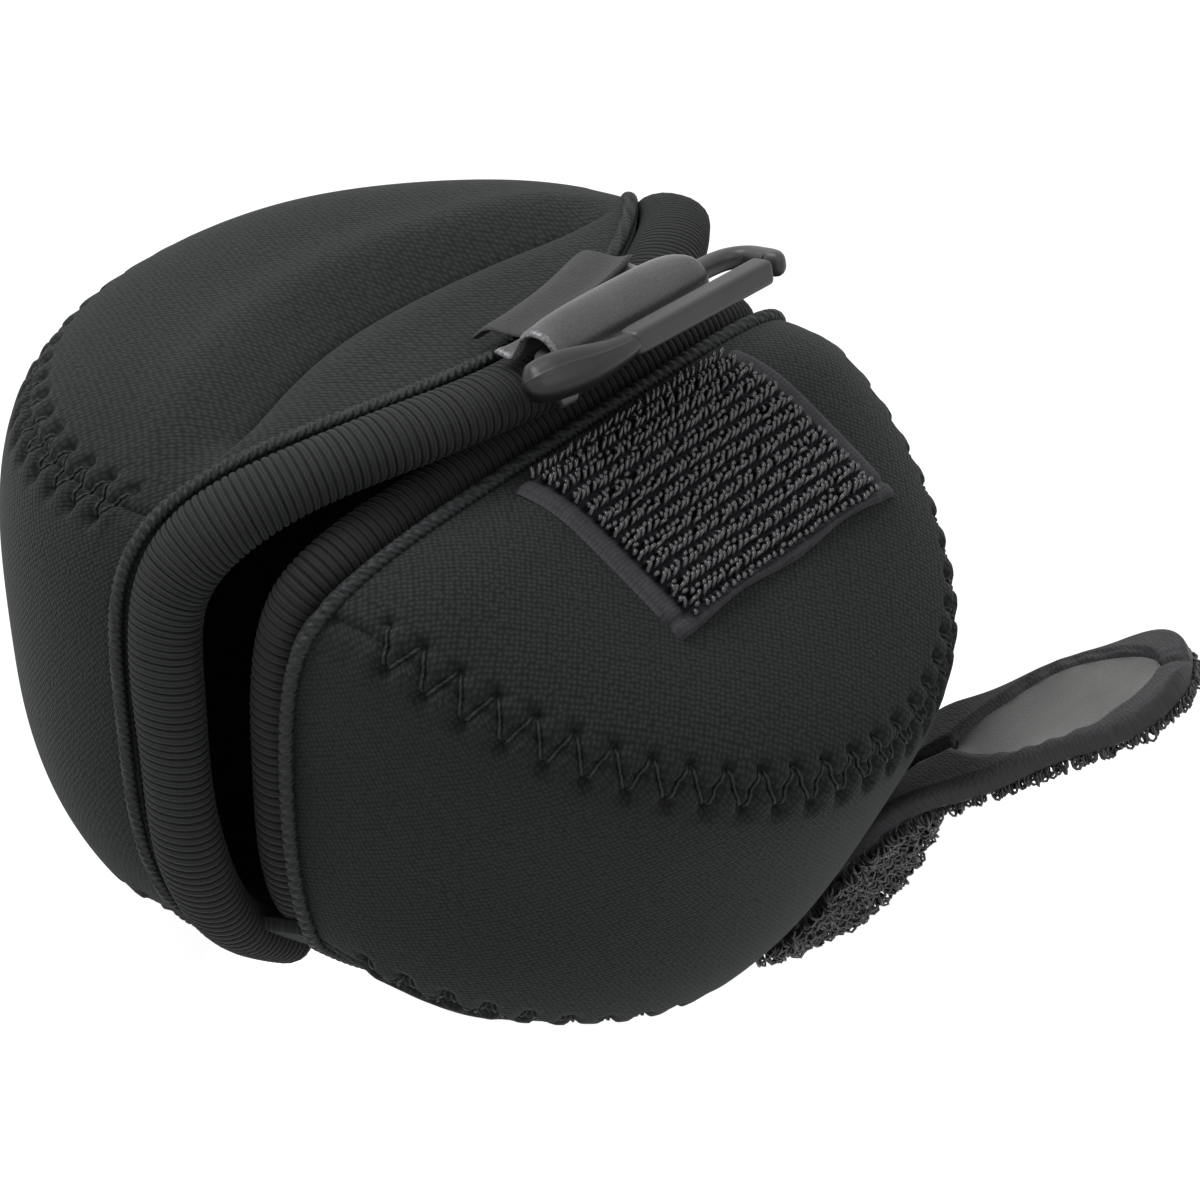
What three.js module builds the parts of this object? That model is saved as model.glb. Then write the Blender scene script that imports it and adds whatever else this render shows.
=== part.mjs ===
// A round neoprene lens pouch: two puffed lobes joined at the base and open at a bound, ribbed mouth.
// The mouth runs along X. The front lobe leans out towards -Y, the rear lobe stands behind it, +Z is up.
// The rear lip carries a leatherette tab with a gated clip. The front lobe carries a square of hook tape
// beside the mouth and a loop-lined strap that leaves its base seam. All lengths are in millimetres.
import * as THREE from 'three';
import { mergeVertices } from 'three/addons/utils/BufferGeometryUtils.js';

const DEG = Math.PI / 180;
const ALONG = new THREE.Vector3(1, 0, 0);
const UP = new THREE.Vector3(0, 0, 1);

// Driving dimensions of the fabric
const wall = 2.6;
const pieceGap = 0.4;
const seamGap = 0.5;

// Each lobe is half of a rounded drum, cut by the mouth. halfWidth runs along the mouth, depth runs
// away from it, crown and bowl are the heights above and below the widest level.
const rear = {
  side: 1,
  halfWidth: 40.5,
  depth: 34,
  crown: 30.2,
  bowl: 32,
  topRoundness: 4.5,
  baseRoundness: 2.5,
  lean: 5 * DEG,
  yaw: 3 * DEG,
  centre: new THREE.Vector3(0, 1.9, 32.4),
  topSeamAngle: 41 * DEG,
  baseSeamAngle: -38 * DEG,
  bow: 19.2,
  lipDrop: 0,
  roll: { halfWidth: 3.4, halfHeight: 2.6, inset: 1 },
};
const front = {
  side: -1,
  halfWidth: 35.5,
  depth: 42,
  crown: 18.5,
  bowl: 35.8,
  topRoundness: 4.6,
  baseRoundness: 4.2,
  lean: 26 * DEG,
  yaw: 0,
  centre: new THREE.Vector3(-1.4, -15.5, 43.6),
  topSeamAngle: 36 * DEG,
  baseSeamAngle: -38 * DEG,
  bow: 0,
  lipDrop: 3.6,
  roll: { halfWidth: 2.8, halfHeight: 2.2, inset: 2.6 },
};

// The base fold that joins the lobes, and how sharply the base panels turn up to their seam
const foldHalfWidth = 10;
const middleTurnEase = 2.6;
const endTurnEase = 1.6;
const endTuckEase = 5;
const middleFlatShare = 0.28;
const flatSpreadShare = 1.4;
const lipDropReach = 10;

// Valley crease over the rear top: an arc behind the lip, with a long rise in front of it and a steep one behind
const creaseReach = 8.75;
const creaseHalfWidth = 31;
const creaseOffset = -2.6;
const creaseDepth = 1.6;
const creaseFront = 4.2;
const creaseBack = 2.6;

// Bound lips: an elastic roll with an overlock ridge beside it
const rollGap = 0.9;
const lipAllowance = 1.2;
const ridgeRadius = 0.8;
const lipEndHeight = 6;

// Zigzag stitching across the panel seams
const stitchWidth = 4.8;
const stitchPitch = 3.8;
const threadRadius = 0.35;
const threadLift = 0.9;

// Hook tape beside the mouth of the front lobe
const hookWidth = 33.5;
const hookLength = 19.4;
const hookThickness = 1.2;
const hookFromLip = 2.6;
const hookOffset = 3.4;
const slopeStep = 0.5;

// Strap that leaves the front lobe at its base seam: a band with loop pile outside and a grip patch inside
const strapWidth = 15.5;
const strapBand = 1.3;
const strapPile = 1.8;
const strapLift = 1.6;
const strapStationShare = 0.615;
const strapHugShare = 0.32;
const strapBendLength = 9;
const strapFreeLength = 25;
const strapRise = 31 * DEG;
const strapTipRadius = 7;
const gripLength = 20;
const gripWidth = 11;
const gripThickness = 0.7;
const gripMargin = 2.2;
const tipEase = 1.4;

// Leatherette tab sewn over the rear lip, with the clip's far bar in its fold
const tabWidth = 18;
const tabThickness = 0.8;
const tabGap = 0.6;
const tabRootBack = 2;
const tabOffset = -2;
const tapeReach = 2.4;
const tapeDrop = 1.2;
const tapeThickness = 0.6;
const barWrapAngles = [55, 100, 145, 190, 235];
const rollWrapAngles = [195, 220, 245, 270];

// Clip: a flat ring whose near side is a sprung gate. Its long axis runs almost along the mouth.
const clipCentre = new THREE.Vector3(5.3, -23.1, 68.15);
const clipYaw = -3 * DEG;
const clipTilt = -0.6 * DEG;
const clipPitch = 12 * DEG;
const clipSpread = 5.4;
const clipHeadEnd = 18.2;
const clipNoseEnd = 14.4;
const clipBarRadius = 1;
const clipHeadRadius = 2.2;
const clipNoseRadius = 1.3;
const gateRadius = 1.2;
const gateHinge = 7.6;
const gateTip = 11.4;
const gatePlay = 0.35;

// Stops round the clip: a share of the way along, a share of the spread across and a share of the radius
const headShares = [[0, 1, 0.75], [0.4, 1, 1], [0.83, 0.9, 0.9], [1, 0.6, 0.7], [1, 0.275, 0.6]];
const noseShares = [[1, 0.275, 0.79], [1, 0.65, 1], [0.97, 0.91, 0.75]];
const barStartShare = 0.72;
const barEndShare = 0.8;
const gateTipShare = 0.6;

// Colours, roughness and metalness
const neoprene = { color: 0x2b2d2c, roughness: 0.92, metalness: 0 };
const knit = { color: 0x1e1f1f, roughness: 0.95, metalness: 0 };
const thread = { color: 0x1a1c20, roughness: 0.6, metalness: 0 };
const leatherette = { color: 0x4a4a49, roughness: 0.5, metalness: 0 };
const plastic = { color: 0x46464a, roughness: 0.45, metalness: 0 };
const hookTape = { color: 0x26262a, roughness: 0.7, metalness: 0 };
const felt = { color: 0x17181c, roughness: 1, metalness: 0 };

const pouch = new THREE.Group();

function addMesh(name, geometry, look) {
  const mesh = new THREE.Mesh(geometry, new THREE.MeshStandardMaterial(look));
  mesh.name = name;
  pouch.add(mesh);
  return mesh;
}

// A closed solid through rings of points that all have the same number of points. With banded ends,
// each ring is an out-and-back band, and its end is closed from one side of the band to the other.
function loft(rings, banded) {
  const positions = rings.flat().flatMap((p) => [p.x, p.y, p.z]);
  const count = rings[0].length;
  const index = [];
  const quad = (a, b, c, d) => index.push(a, b, c, a, c, d);
  for (let r = 0; r + 1 < rings.length; r += 1) {
    for (let i = 0; i < count; i += 1) {
      const j = (i + 1) % count;
      quad(r * count + i, r * count + j, (r + 1) * count + j, (r + 1) * count + i);
    }
  }
  const last = (rings.length - 1) * count;
  if (banded) {
    for (let i = 0; i + 1 < count / 2; i += 1) {
      const back = count - 1 - i;
      quad(i, back, back - 1, i + 1);
      quad(last + i, last + i + 1, last + back - 1, last + back);
    }
  } else {
    for (let i = 1; i + 1 < count; i += 1) {
      index.push(0, i + 1, i, last, last + i, last + i + 1);
    }
  }
  return closedGeometry(positions, index);
}

// Merges equal points, drops collapsed triangles and turns the faces outwards
function closedGeometry(positions, index) {
  const raw = new THREE.BufferGeometry();
  raw.setAttribute('position', new THREE.Float32BufferAttribute(positions, 3));
  raw.setIndex(index);
  const merged = mergeVertices(raw, 1e-4);
  const source = merged.getIndex().array;
  const place = merged.getAttribute('position');
  const kept = [];
  const a = new THREE.Vector3();
  const b = new THREE.Vector3();
  const c = new THREE.Vector3();
  let volume = 0;
  for (let i = 0; i < source.length; i += 3) {
    const [p, q, r] = [source[i], source[i + 1], source[i + 2]];
    if (p !== q && q !== r && r !== p) {
      kept.push(p, q, r);
      a.fromBufferAttribute(place, p);
      b.fromBufferAttribute(place, q);
      c.fromBufferAttribute(place, r);
      volume += a.dot(b.cross(c));
    }
  }
  if (volume < 0) {
    kept.reverse();
  }
  merged.setIndex(kept);
  merged.computeVertexNormals();
  return merged;
}

// A tube of any section along a path: each frame gives a point and the section's two half axes
function sweep(frames, sides) {
  return loft(frames.map(({ point, across, up }) => {
    const ring = [];
    for (let i = 0; i < sides; i += 1) {
      const turn = (2 * Math.PI * (i + 0.5)) / sides;
      ring.push(point.clone().addScaledVector(across, Math.cos(turn)).addScaledVector(up, Math.sin(turn)));
    }
    return ring;
  }), false);
}

function smooth(low, high, value) {
  return THREE.MathUtils.smoothstep(value, low, high);
}

// The superellipse profile of a lobe: radius as a share of the widest, height above the widest level
function profile(lobe, angle, inset) {
  const upper = angle > 0;
  const power = upper ? lobe.topRoundness : lobe.baseRoundness;
  const rise = (upper ? lobe.crown : lobe.bowl) - inset;
  const size = (Math.abs(Math.cos(angle)) ** power + Math.abs(Math.sin(angle)) ** power) ** (1 / power);
  return { share: Math.cos(angle) / size, height: (rise * Math.sin(angle)) / size };
}

// From a lobe's own directions (along the mouth, away from it, up its axis) to the part's
function place(lobe, x, y, z) {
  const mid = Math.max(0, 1 - (x / lobe.halfWidth) ** 2);
  const near = Math.max(0, 1 - Math.max(0, y) / lobe.depth);
  const upper = smooth(0, lobe.crown, z);
  const bowed = y - lobe.bow * mid * near * near * upper;
  const lip = Math.max(0, 1 - Math.max(0, y + lipAllowance) / lipDropReach);
  const lowered = z - lobe.lipDrop * lip * lip * upper;
  const leaning = new THREE.Vector3(x, lobe.side * bowed, lowered).applyAxisAngle(ALONG, -lobe.side * lobe.lean);
  return leaning.applyAxisAngle(UP, lobe.yaw).add(lobe.centre);
}

// How far a lobe's cut edge lies from its middle plane at a height. The front lobe's lower edges stop
// short of the rear lip, which stands straight there.
const rearRollReach = lipAllowance + rollGap + 2 * rear.roll.halfWidth;
const frontRollReach = rollGap + 2 * front.roll.halfWidth;
function edgeOffset(lobe, height, x) {
  if (lobe.side > 0) {
    return -lipAllowance;
  }
  const rearY = rear.centre.y + x * Math.tan(rear.yaw);
  const clearY = rearY - rearRollReach - pieceGap - frontRollReach;
  const here = front.centre.y - height * Math.sin(front.lean);
  const needed = (here - clearY) / Math.cos(front.lean);
  const blend = front.roll.halfWidth;
  const over = needed + lipAllowance;
  return -lipAllowance + 0.5 * (over + Math.sqrt(over * over + blend * blend)) - 0.25 * blend;
}

// The line of the base fold, on the ground between the two lobes
const foldY = rear.centre.y - rearRollReach - 0.5 * pieceGap;

// A point on a lobe. station runs 0 to 1 from the left lip to the right one. level runs 0 to 1 over the
// base panel from the fold to its seam, 1 to 2 up the side panel and 2 to 3 over the top panel. back
// moves the lips' own line away from the mouth.
function lobePoint(lobe, station, level, inset, back = 0) {
  const angleAt = (share) => lobe.baseSeamAngle + (lobe.topSeamAngle - lobe.baseSeamAngle) * share;
  const ring = (angle) => {
    const { share, height } = profile(lobe, angle, inset);
    const reach = (lobe.depth - inset) * share;
    const width = (lobe.halfWidth - inset) * share;
    const startAt = (x) => Math.asin(THREE.MathUtils.clamp((edgeOffset(lobe, height, x) + back) / reach, -1, 1));
    const left = startAt(-width);
    const right = startAt(width);
    const turn = Math.PI - left - (Math.PI - left - right) * station;
    return { x: width * Math.cos(turn), y: reach * Math.sin(turn), z: height };
  };
  if (level >= 1 && level <= 2) {
    const { x, y, z } = ring(angleAt(level - 1));
    return grounded(place(lobe, x, y, z), inset);
  }
  if (level > 2) {
    const rim = ring(lobe.topSeamAngle);
    const middle = edgeOffset(lobe, rim.z, 0) + back;
    const share = 3 - level;
    return crownPoint(lobe, rim.x * share, middle + (rim.y - middle) * share, inset);
  }
  const rim = ring(lobe.baseSeamAngle);
  const seam = grounded(place(lobe, rim.x, rim.y, rim.z), inset);
  const foldX = (2 * station - 1) * foldHalfWidth;
  const fold = new THREE.Vector3(foldX, foldY + 0.5 * lobe.side * pieceGap, inset);
  const { tuck } = baseShape(station);
  const point = fold.clone().lerp(seam, level);
  point.y = seam.y + (fold.y - seam.y) * (1 - level) ** tuck;
  point.z = inset + (seam.z - inset) * baseRise(station, level);
  return point;
}

// How far up to its seam a base panel has risen: flat at first near the middle, sooner at the lips
function baseRise(station, level) {
  const { flat, turn } = baseShape(station);
  return (Math.max(0, level - flat) / (1 - flat)) ** turn;
}

function baseShape(station) {
  const middle = Math.min(1, flatSpreadShare * Math.sin(Math.PI * station));
  const end = 1 - middle;
  return {
    flat: middleFlatShare * middle,
    turn: endTurnEase + (middleTurnEase - endTurnEase) * middle,
    tuck: 1 + endTuckEase * end * end,
  };
}

// A point on the top of a lobe, from its own directions along the mouth and away from it
function crownPoint(lobe, x, y, inset) {
  const size = Math.hypot(x / (lobe.halfWidth - inset), y / (lobe.depth - inset));
  const crown = (1 - Math.min(size, 1) ** lobe.topRoundness) ** (1 / lobe.topRoundness);
  const drop = lobe === rear ? creaseDrop(x, y) : 0;
  return place(lobe, x, y, (lobe.crown - inset - drop) * crown);
}

// How far the rear top has sunk beside its crease, fading out at the lip
function creaseDrop(x, y) {
  const bulge = Math.max(0, 1 - ((x - creaseOffset) / creaseHalfWidth) ** 2);
  const away = y - creaseReach * bulge;
  const width = away > 0 ? creaseBack : creaseFront;
  const depth = creaseDepth * Math.sqrt(bulge) * smooth(0, creaseReach / 2, y);
  return depth * Math.exp(-((away / width) ** 2));
}

function grounded(point, inset) {
  point.z = Math.max(point.z, inset);
  return point;
}

// The outward direction at a place on a lobe
function outward(lobe, station, level) {
  const step = 1e-3;
  const at = (s, l) => lobePoint(lobe, s, l, 0);
  const s = THREE.MathUtils.clamp(station, step, 1 - step);
  const along = at(s + step, level).sub(at(s - step, level));
  const rising = at(s, level + step).sub(at(s, level - step));
  return along.cross(rising).normalize().multiplyScalar(lobe.side < 0 ? 1 : -1);
}

// A panel of a lobe between two levels, as a shell of the fabric's thickness
function panel(lobe, levels, stations) {
  const rings = [];
  for (let s = 0; s <= stations; s += 1) {
    const outer = levels.map((level) => lobePoint(lobe, s / stations, level, 0));
    const inner = levels.map((level) => lobePoint(lobe, s / stations, level, wall));
    rings.push([...outer, ...inner.reverse()]);
  }
  return loft(rings, true);
}

// Levels between two ends, set closer together at the end named by ease
function spread(from, to, count, ease) {
  const levels = [];
  for (let i = 0; i <= count; i += 1) {
    levels.push(from + (to - from) * (i / count) ** ease);
  }
  return levels;
}

// Each seam is a gap, half of it a share of the height of the side panel
const stations = 26;
const baseEase = 0.8;
const topEase = 1.5;
const sideHeight = lobePoint(front, 0.5, 1, 0).distanceTo(lobePoint(front, 0.5, 2, 0));
const seamShare = seamGap / 2 / sideHeight;
const baseLevels = [0, ...spread(middleFlatShare, 1 - seamShare, 6, baseEase)];
const sideLevels = spread(1 + seamShare, 2 - seamShare, 6, 1);
const topLevels = spread(2 + seamShare, 3, 7, topEase);
const creasedLevels = spread(2 + seamShare, 3, 13, 1);

for (const [name, lobe] of [['rear', rear], ['front', front]]) {
  addMesh(`${name}_base_panel`, panel(lobe, baseLevels, stations), neoprene);
  addMesh(`${name}_side_panel`, panel(lobe, sideLevels, stations), neoprene);
  addMesh(`${name}_top_panel`, panel(lobe, lobe === rear ? creasedLevels : topLevels, stations), neoprene);
}

// Frames along a lobe's cut edge from its lower left end over the top to its lower right end, back from
// the edge. shift moves them towards the mouth, lift moves them off the fabric.
function lipFrames(lobe, back, shift, lift, halfWidth, halfHeight) {
  const rise = [...spread(1, 2, 6, 1), ...spread(2, 3, 7, topEase).slice(1)];
  const first = lobePoint(lobe, 0, 1, 0);
  if (first.z > lipEndHeight) {
    const share = (lipEndHeight / first.z) ** (1 / endTurnEase);
    rise.unshift(share, (1 + share) / 2);
  }
  const left = rise.map((level) => [0, level]);
  const right = rise.map((level) => [1, level]).reverse().slice(1);
  const edge = [...left, ...right].map(([station, level]) => {
    const point = lobePoint(lobe, station, level, 0, back);
    const out = outward(lobe, station, Math.min(level, 3 - 2e-3));
    return { point, out, upright: THREE.MathUtils.clamp(2 - level, 0, 1) };
  });
  return edge.map(({ point, out, upright }, i) => {
    const before = edge[Math.max(0, i - 1)].point;
    const after = edge[Math.min(edge.length - 1, i + 1)].point;
    const along = after.clone().sub(before).normalize();
    const towards = mouthward(lobe, upright);
    if (back > 0) {
      towards.addScaledVector(out, -towards.dot(out));
    }
    const across = towards.addScaledVector(along, -along.dot(towards)).normalize();
    const up = new THREE.Vector3().crossVectors(across, along);
    up.multiplyScalar(Math.sign(up.dot(out)));
    return {
      point: point.clone().addScaledVector(across, shift).addScaledVector(up, lift),
      across: across.multiplyScalar(halfWidth),
      up: up.multiplyScalar(halfHeight),
    };
  });
}

// The direction into the mouth: leaning with the lobe on top, level lower down, where the lips stand up
function mouthward(lobe, upright) {
  const lean = lobe.lean * (1 - upright);
  return new THREE.Vector3(0, -lobe.side * Math.cos(lean), Math.sin(lean)).applyAxisAngle(UP, lobe.yaw);
}

for (const [name, lobe] of [['rear', rear], ['front', front]]) {
  const { halfWidth, halfHeight, inset } = lobe.roll;
  const roll = lipFrames(lobe, 0, rollGap + halfWidth, -inset, halfWidth, halfHeight);
  addMesh(`${name}_lip_binding`, sweep(roll, 8), knit);
  const ridgeLift = pieceGap + ridgeRadius;
  const ridge = lipFrames(lobe, lipAllowance, 0, ridgeLift, ridgeRadius, ridgeRadius);
  addMesh(`${name}_lip_seam`, sweep(ridge, 6), knit);
}

// A zigzag thread over a panel seam, from one lip to the other. Its corners are mitred, so a section there
// is longer across the seam than the thread is thick.
function zigzag(lobe, seamLevel) {
  const samples = 60;
  let length = 0;
  for (let i = 0; i < samples; i += 1) {
    const here = lobePoint(lobe, i / samples, seamLevel, 0);
    length += here.distanceTo(lobePoint(lobe, (i + 1) / samples, seamLevel, 0));
  }
  const clear = (ridgeRadius + lipAllowance + stitchPitch) / length;
  const stitches = 2 * Math.round((length * (1 - 2 * clear)) / stitchPitch);
  const step = 1e-3;
  const frames = [];
  const mitre = (threadRadius * Math.hypot(stitchWidth, stitchPitch / 2)) / (stitchPitch / 2);
  const swing = stitchWidth / 2 + threadRadius - mitre;
  for (let i = 0; i <= stitches; i += 1) {
    const station = clear + ((1 - 2 * clear) * i) / stitches;
    const base = lobePoint(lobe, station, seamLevel, 0);
    const out = outward(lobe, station, seamLevel);
    const above = lobePoint(lobe, station, seamLevel + step, 0).distanceTo(base) / step;
    const below = lobePoint(lobe, station, seamLevel - step, 0).distanceTo(base) / step;
    const reach = i % 2 === 0 ? swing / above : -swing / below;
    const point = lobePoint(lobe, station, seamLevel + reach, 0).addScaledVector(out, threadLift);
    const along = lobePoint(lobe, station + step, seamLevel, 0).sub(lobePoint(lobe, station - step, seamLevel, 0));
    const across = new THREE.Vector3().crossVectors(out, along).normalize();
    frames.push({ point, across: across.multiplyScalar(mitre), up: out.clone().multiplyScalar(threadRadius) });
  }
  return sweep(frames, 4);
}

for (const [name, lobe] of [['rear', rear], ['front', front]]) {
  addMesh(`${name}_top_stitching`, zigzag(lobe, 2), thread);
  addMesh(`${name}_base_stitching`, zigzag(lobe, 1), thread);
}

// A sheet between two offsets from its lines of points, each with the direction that it faces
function layer(lines, low, high) {
  const offset = (line, by) => line.map(({ point, out }) => point.clone().addScaledVector(out, by));
  return loft(lines.map((line) => [...offset(line, high), ...offset(line, low).reverse()]), true);
}

// Hook tape on the top of the front lobe
const hookColumns = 8;
const hookRows = 6;
const hookLines = [];
for (let i = 0; i <= hookColumns; i += 1) {
  const x = hookOffset + hookWidth * (i / hookColumns - 0.5);
  const line = [];
  for (let j = 0; j <= hookRows; j += 1) {
    const y = hookFromLip + (hookLength * j) / hookRows;
    const along = crownPoint(front, x + slopeStep, y, 0).sub(crownPoint(front, x - slopeStep, y, 0));
    const away = crownPoint(front, x, y + slopeStep, 0).sub(crownPoint(front, x, y - slopeStep, 0));
    line.push({ point: crownPoint(front, x, y, 0), out: away.cross(along).normalize() });
  }
  hookLines.push(line);
}
addMesh('hook_patch', layer(hookLines, pieceGap, pieceGap + hookThickness), hookTape);

// The strap's middle line, in the upright plane that faces out of the lobe where the strap is sewn on
function strapPath() {
  const facing = outward(front, strapStationShare, 1 + strapHugShare / 2);
  const ahead = new THREE.Vector3(facing.x, facing.y, 0).normalize();
  const start = lobePoint(front, strapStationShare, 1, 0);
  start.addScaledVector(outward(front, strapStationShare, 1), strapLift);
  const path = [];
  const hugSteps = 4;
  for (let i = 0; i <= hugSteps; i += 1) {
    const level = 1 + (strapHugShare * i) / hugSteps;
    const on = lobePoint(front, strapStationShare, level, 0);
    on.addScaledVector(outward(front, strapStationShare, level), strapLift).sub(start);
    path.push({ reach: on.dot(ahead), height: on.z });
  }
  const end = path[path.length - 1];
  const before = path[path.length - 2];
  const leaving = Math.atan2(end.height - before.height, end.reach - before.reach);
  const bendSteps = 5;
  const freeSteps = 6;
  let here = end;
  for (let i = 1; i <= bendSteps + freeSteps; i += 1) {
    const turned = Math.min(1, (i - 0.5) / bendSteps);
    const angle = leaving + (strapRise - leaving) * turned;
    const step = i <= bendSteps ? strapBendLength / bendSteps : strapFreeLength / freeSteps;
    here = { reach: here.reach + step * Math.cos(angle), height: here.height + step * Math.sin(angle) };
    path.push(here);
  }
  return { start, ahead, path };
}

// A layer of the strap from one share of its length to another, with rounded corners at the free end
function strapLayer(width, tipRadius, margin, length, low, high) {
  const { start, ahead, path } = strapPath();
  const across = new THREE.Vector3().crossVectors(ahead, UP);
  const curve = new THREE.CatmullRomCurve3(path.map(({ reach, height }) => (
    start.clone().addScaledVector(ahead, reach).addScaledVector(UP, height)
  )));
  const total = curve.getLength();
  const from = length > 0 ? total - margin - length : 0;
  const to = total - margin;
  const steps = 14;
  const stops = [];
  for (let i = 0; i <= steps; i += 1) {
    stops.push(from + (to - from) * (1 - (1 - i / steps) ** tipEase));
  }
  const lines = [-1, -0.5, 0, 0.5, 1].map((side) => stops.map((stop) => {
    const point = curve.getPointAt(stop / total);
    const along = curve.getTangentAt(stop / total);
    const rounded = Math.max(0, tipRadius - (to - stop));
    const narrow = tipRadius - Math.sqrt(tipRadius * tipRadius - rounded * rounded);
    const out = new THREE.Vector3().crossVectors(along, across);
    return { point: point.addScaledVector(across, side * (width / 2 - narrow)), out };
  }));
  return layer(lines, low, high);
}

const pileBase = strapBand + pieceGap;
addMesh('strap_band', strapLayer(strapWidth, strapTipRadius, 0, 0, 0, strapBand), neoprene);
addMesh('strap_loop_tape', strapLayer(strapWidth, strapTipRadius, 0, 0, pileBase, pileBase + strapPile), felt);
const gripTip = strapTipRadius - gripMargin;
const gripBase = -pieceGap - gripThickness;
addMesh('strap_grip_patch', strapLayer(gripWidth, gripTip, gripMargin, gripLength, gripBase, -pieceGap), leatherette);

// The clip's own directions: along its long axis, from its far bar to its gate, and off its flat face
const clipAxis = new THREE.Vector3(
  Math.cos(clipYaw) * Math.cos(clipTilt),
  Math.sin(clipYaw) * Math.cos(clipTilt),
  Math.sin(clipTilt),
);
const clipLevel = new THREE.Vector3(Math.sin(clipYaw), -Math.cos(clipYaw), 0);
const clipGateward = clipLevel.clone().applyAxisAngle(clipAxis, -clipPitch);
const clipFace = new THREE.Vector3().crossVectors(clipGateward, clipAxis);

function onClip(u, w) {
  return clipCentre.clone().addScaledVector(clipAxis, u).addScaledVector(clipGateward, w);
}

// A round bar through stops of [along, across, radius] on the clip's plane
function clipTube(stops, samples, sides) {
  const curve = new THREE.CatmullRomCurve3(stops.map(([u, w]) => onClip(u, w)), false, 'centripetal');
  const radii = new THREE.CatmullRomCurve3(stops.map(([, , radius]) => new THREE.Vector3(radius, 0, 0)));
  const frames = [];
  for (let i = 0; i <= samples; i += 1) {
    const share = i / samples;
    const radius = radii.getPoint(share).x;
    const along = curve.getTangent(share);
    const across = new THREE.Vector3().crossVectors(along, clipFace).normalize();
    const up = clipFace.clone().multiplyScalar(radius);
    frames.push({ point: curve.getPoint(share), across: across.multiplyScalar(radius), up });
  }
  return sweep(frames, sides);
}

// Stops of a rounded end of the clip between two places along it
function endStops(shares, from, to, radius) {
  return shares.map(([along, across, thick]) => [from + (to - from) * along, clipSpread * across, radius * thick]);
}

const kink = -gateHinge - gatePlay;
addMesh('clip_body', clipTube([
  ...endStops(headShares, kink, clipHeadRadius - clipHeadEnd, clipHeadRadius),
  [-barStartShare * clipHeadEnd, 0, clipBarRadius],
  [0, 0, clipBarRadius],
  [barEndShare * clipNoseEnd, 0, clipBarRadius],
  ...endStops(noseShares, 0, clipNoseEnd - clipNoseRadius, clipNoseRadius),
], 44, 8), plastic);
addMesh('clip_gate', clipTube([
  [gatePlay - gateHinge, clipSpread, gateTipShare * gateRadius],
  [gateRadius - gateHinge, clipSpread, gateRadius],
  [0, clipSpread, gateRadius],
  [gateTip - gateRadius, clipSpread, gateRadius],
  [gateTip, clipSpread, gateTipShare * gateRadius],
], 12, 8), plastic);

// Lines of the tab and of the tape on its root, one for each stop along the clip's far bar
const tabLines = [];
const tapeLines = [];
const tabSteps = 8;
const layerMiddle = tabGap + tabThickness / 2;
for (let i = 0; i <= tabSteps; i += 1) {
  const bar = onClip(tabOffset + tabWidth * (i / tabSteps - 0.5), 0);
  const lip = crownPoint(rear, bar.x, -lipAllowance, 0);
  const roll = lip.clone().addScaledVector(mouthward(rear, 0), rollGap + rear.roll.halfWidth);
  roll.z -= rear.roll.inset;
  const rollWide = rear.roll.halfWidth + layerMiddle;
  const rollHigh = rear.roll.halfHeight + layerMiddle;
  const wrap = clipBarRadius + layerMiddle;
  const onRoll = (angle) => [roll.y + rollWide * Math.cos(angle * DEG), roll.z + rollHigh * Math.sin(angle * DEG)];
  const onBar = (angle) => [bar.y + wrap * Math.cos(angle * DEG), bar.z + wrap * Math.sin(angle * DEG)];
  const section = [
    [roll.y + tabRootBack, roll.z + rollHigh],
    onRoll(90),
    ...barWrapAngles.map(onBar),
    ...rollWrapAngles.map(onRoll),
  ];
  tabLines.push(facing(section.map(([y, z]) => new THREE.Vector3(bar.x, y, z))));
  const ridgeTop = lip.z + pieceGap + 2 * ridgeRadius + tabGap + tapeThickness / 2;
  const ridgeY = lip.y + lipAllowance;
  const tape = [
    [roll.y + tabRootBack + pieceGap, ridgeTop],
    [ridgeY - ridgeRadius, ridgeTop],
    [ridgeY + ridgeRadius, ridgeTop],
    [ridgeY + tapeReach, ridgeTop - tapeDrop],
  ];
  tapeLines.push(facing(tape.map(([y, z]) => new THREE.Vector3(bar.x, y, z))));
}

// Gives each point of a line in an upright plane across the mouth the direction square to the line
function facing(points) {
  return points.map((point, i) => {
    const before = points[Math.max(0, i - 1)];
    const after = points[Math.min(points.length - 1, i + 1)];
    const along = after.clone().sub(before).normalize();
    return { point, out: new THREE.Vector3().crossVectors(along, ALONG) };
  });
}

addMesh('clip_tab', layer(tabLines, -tabThickness / 2, tabThickness / 2), leatherette);
addMesh('tab_anchor_tape', layer(tapeLines, -tapeThickness / 2, tapeThickness / 2), knit);

const box = new THREE.Box3().setFromObject(pouch);
const middle = box.getCenter(new THREE.Vector3());
pouch.position.set(-middle.x, -middle.y, -box.min.z);
pouch.updateMatrixWorld(true);

export default pouch;
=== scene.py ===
"""A round neoprene lens pouch: two puffed lobes with zigzag seams, ribbed lip bindings, a square of hook tape,
a loop-lined strap and a gated clip on a leatherette tab. Lengths are in millimetres until a mesh is made."""
import math
from types import SimpleNamespace

import bpy
import numpy as np
from mathutils import Matrix, Vector


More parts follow.
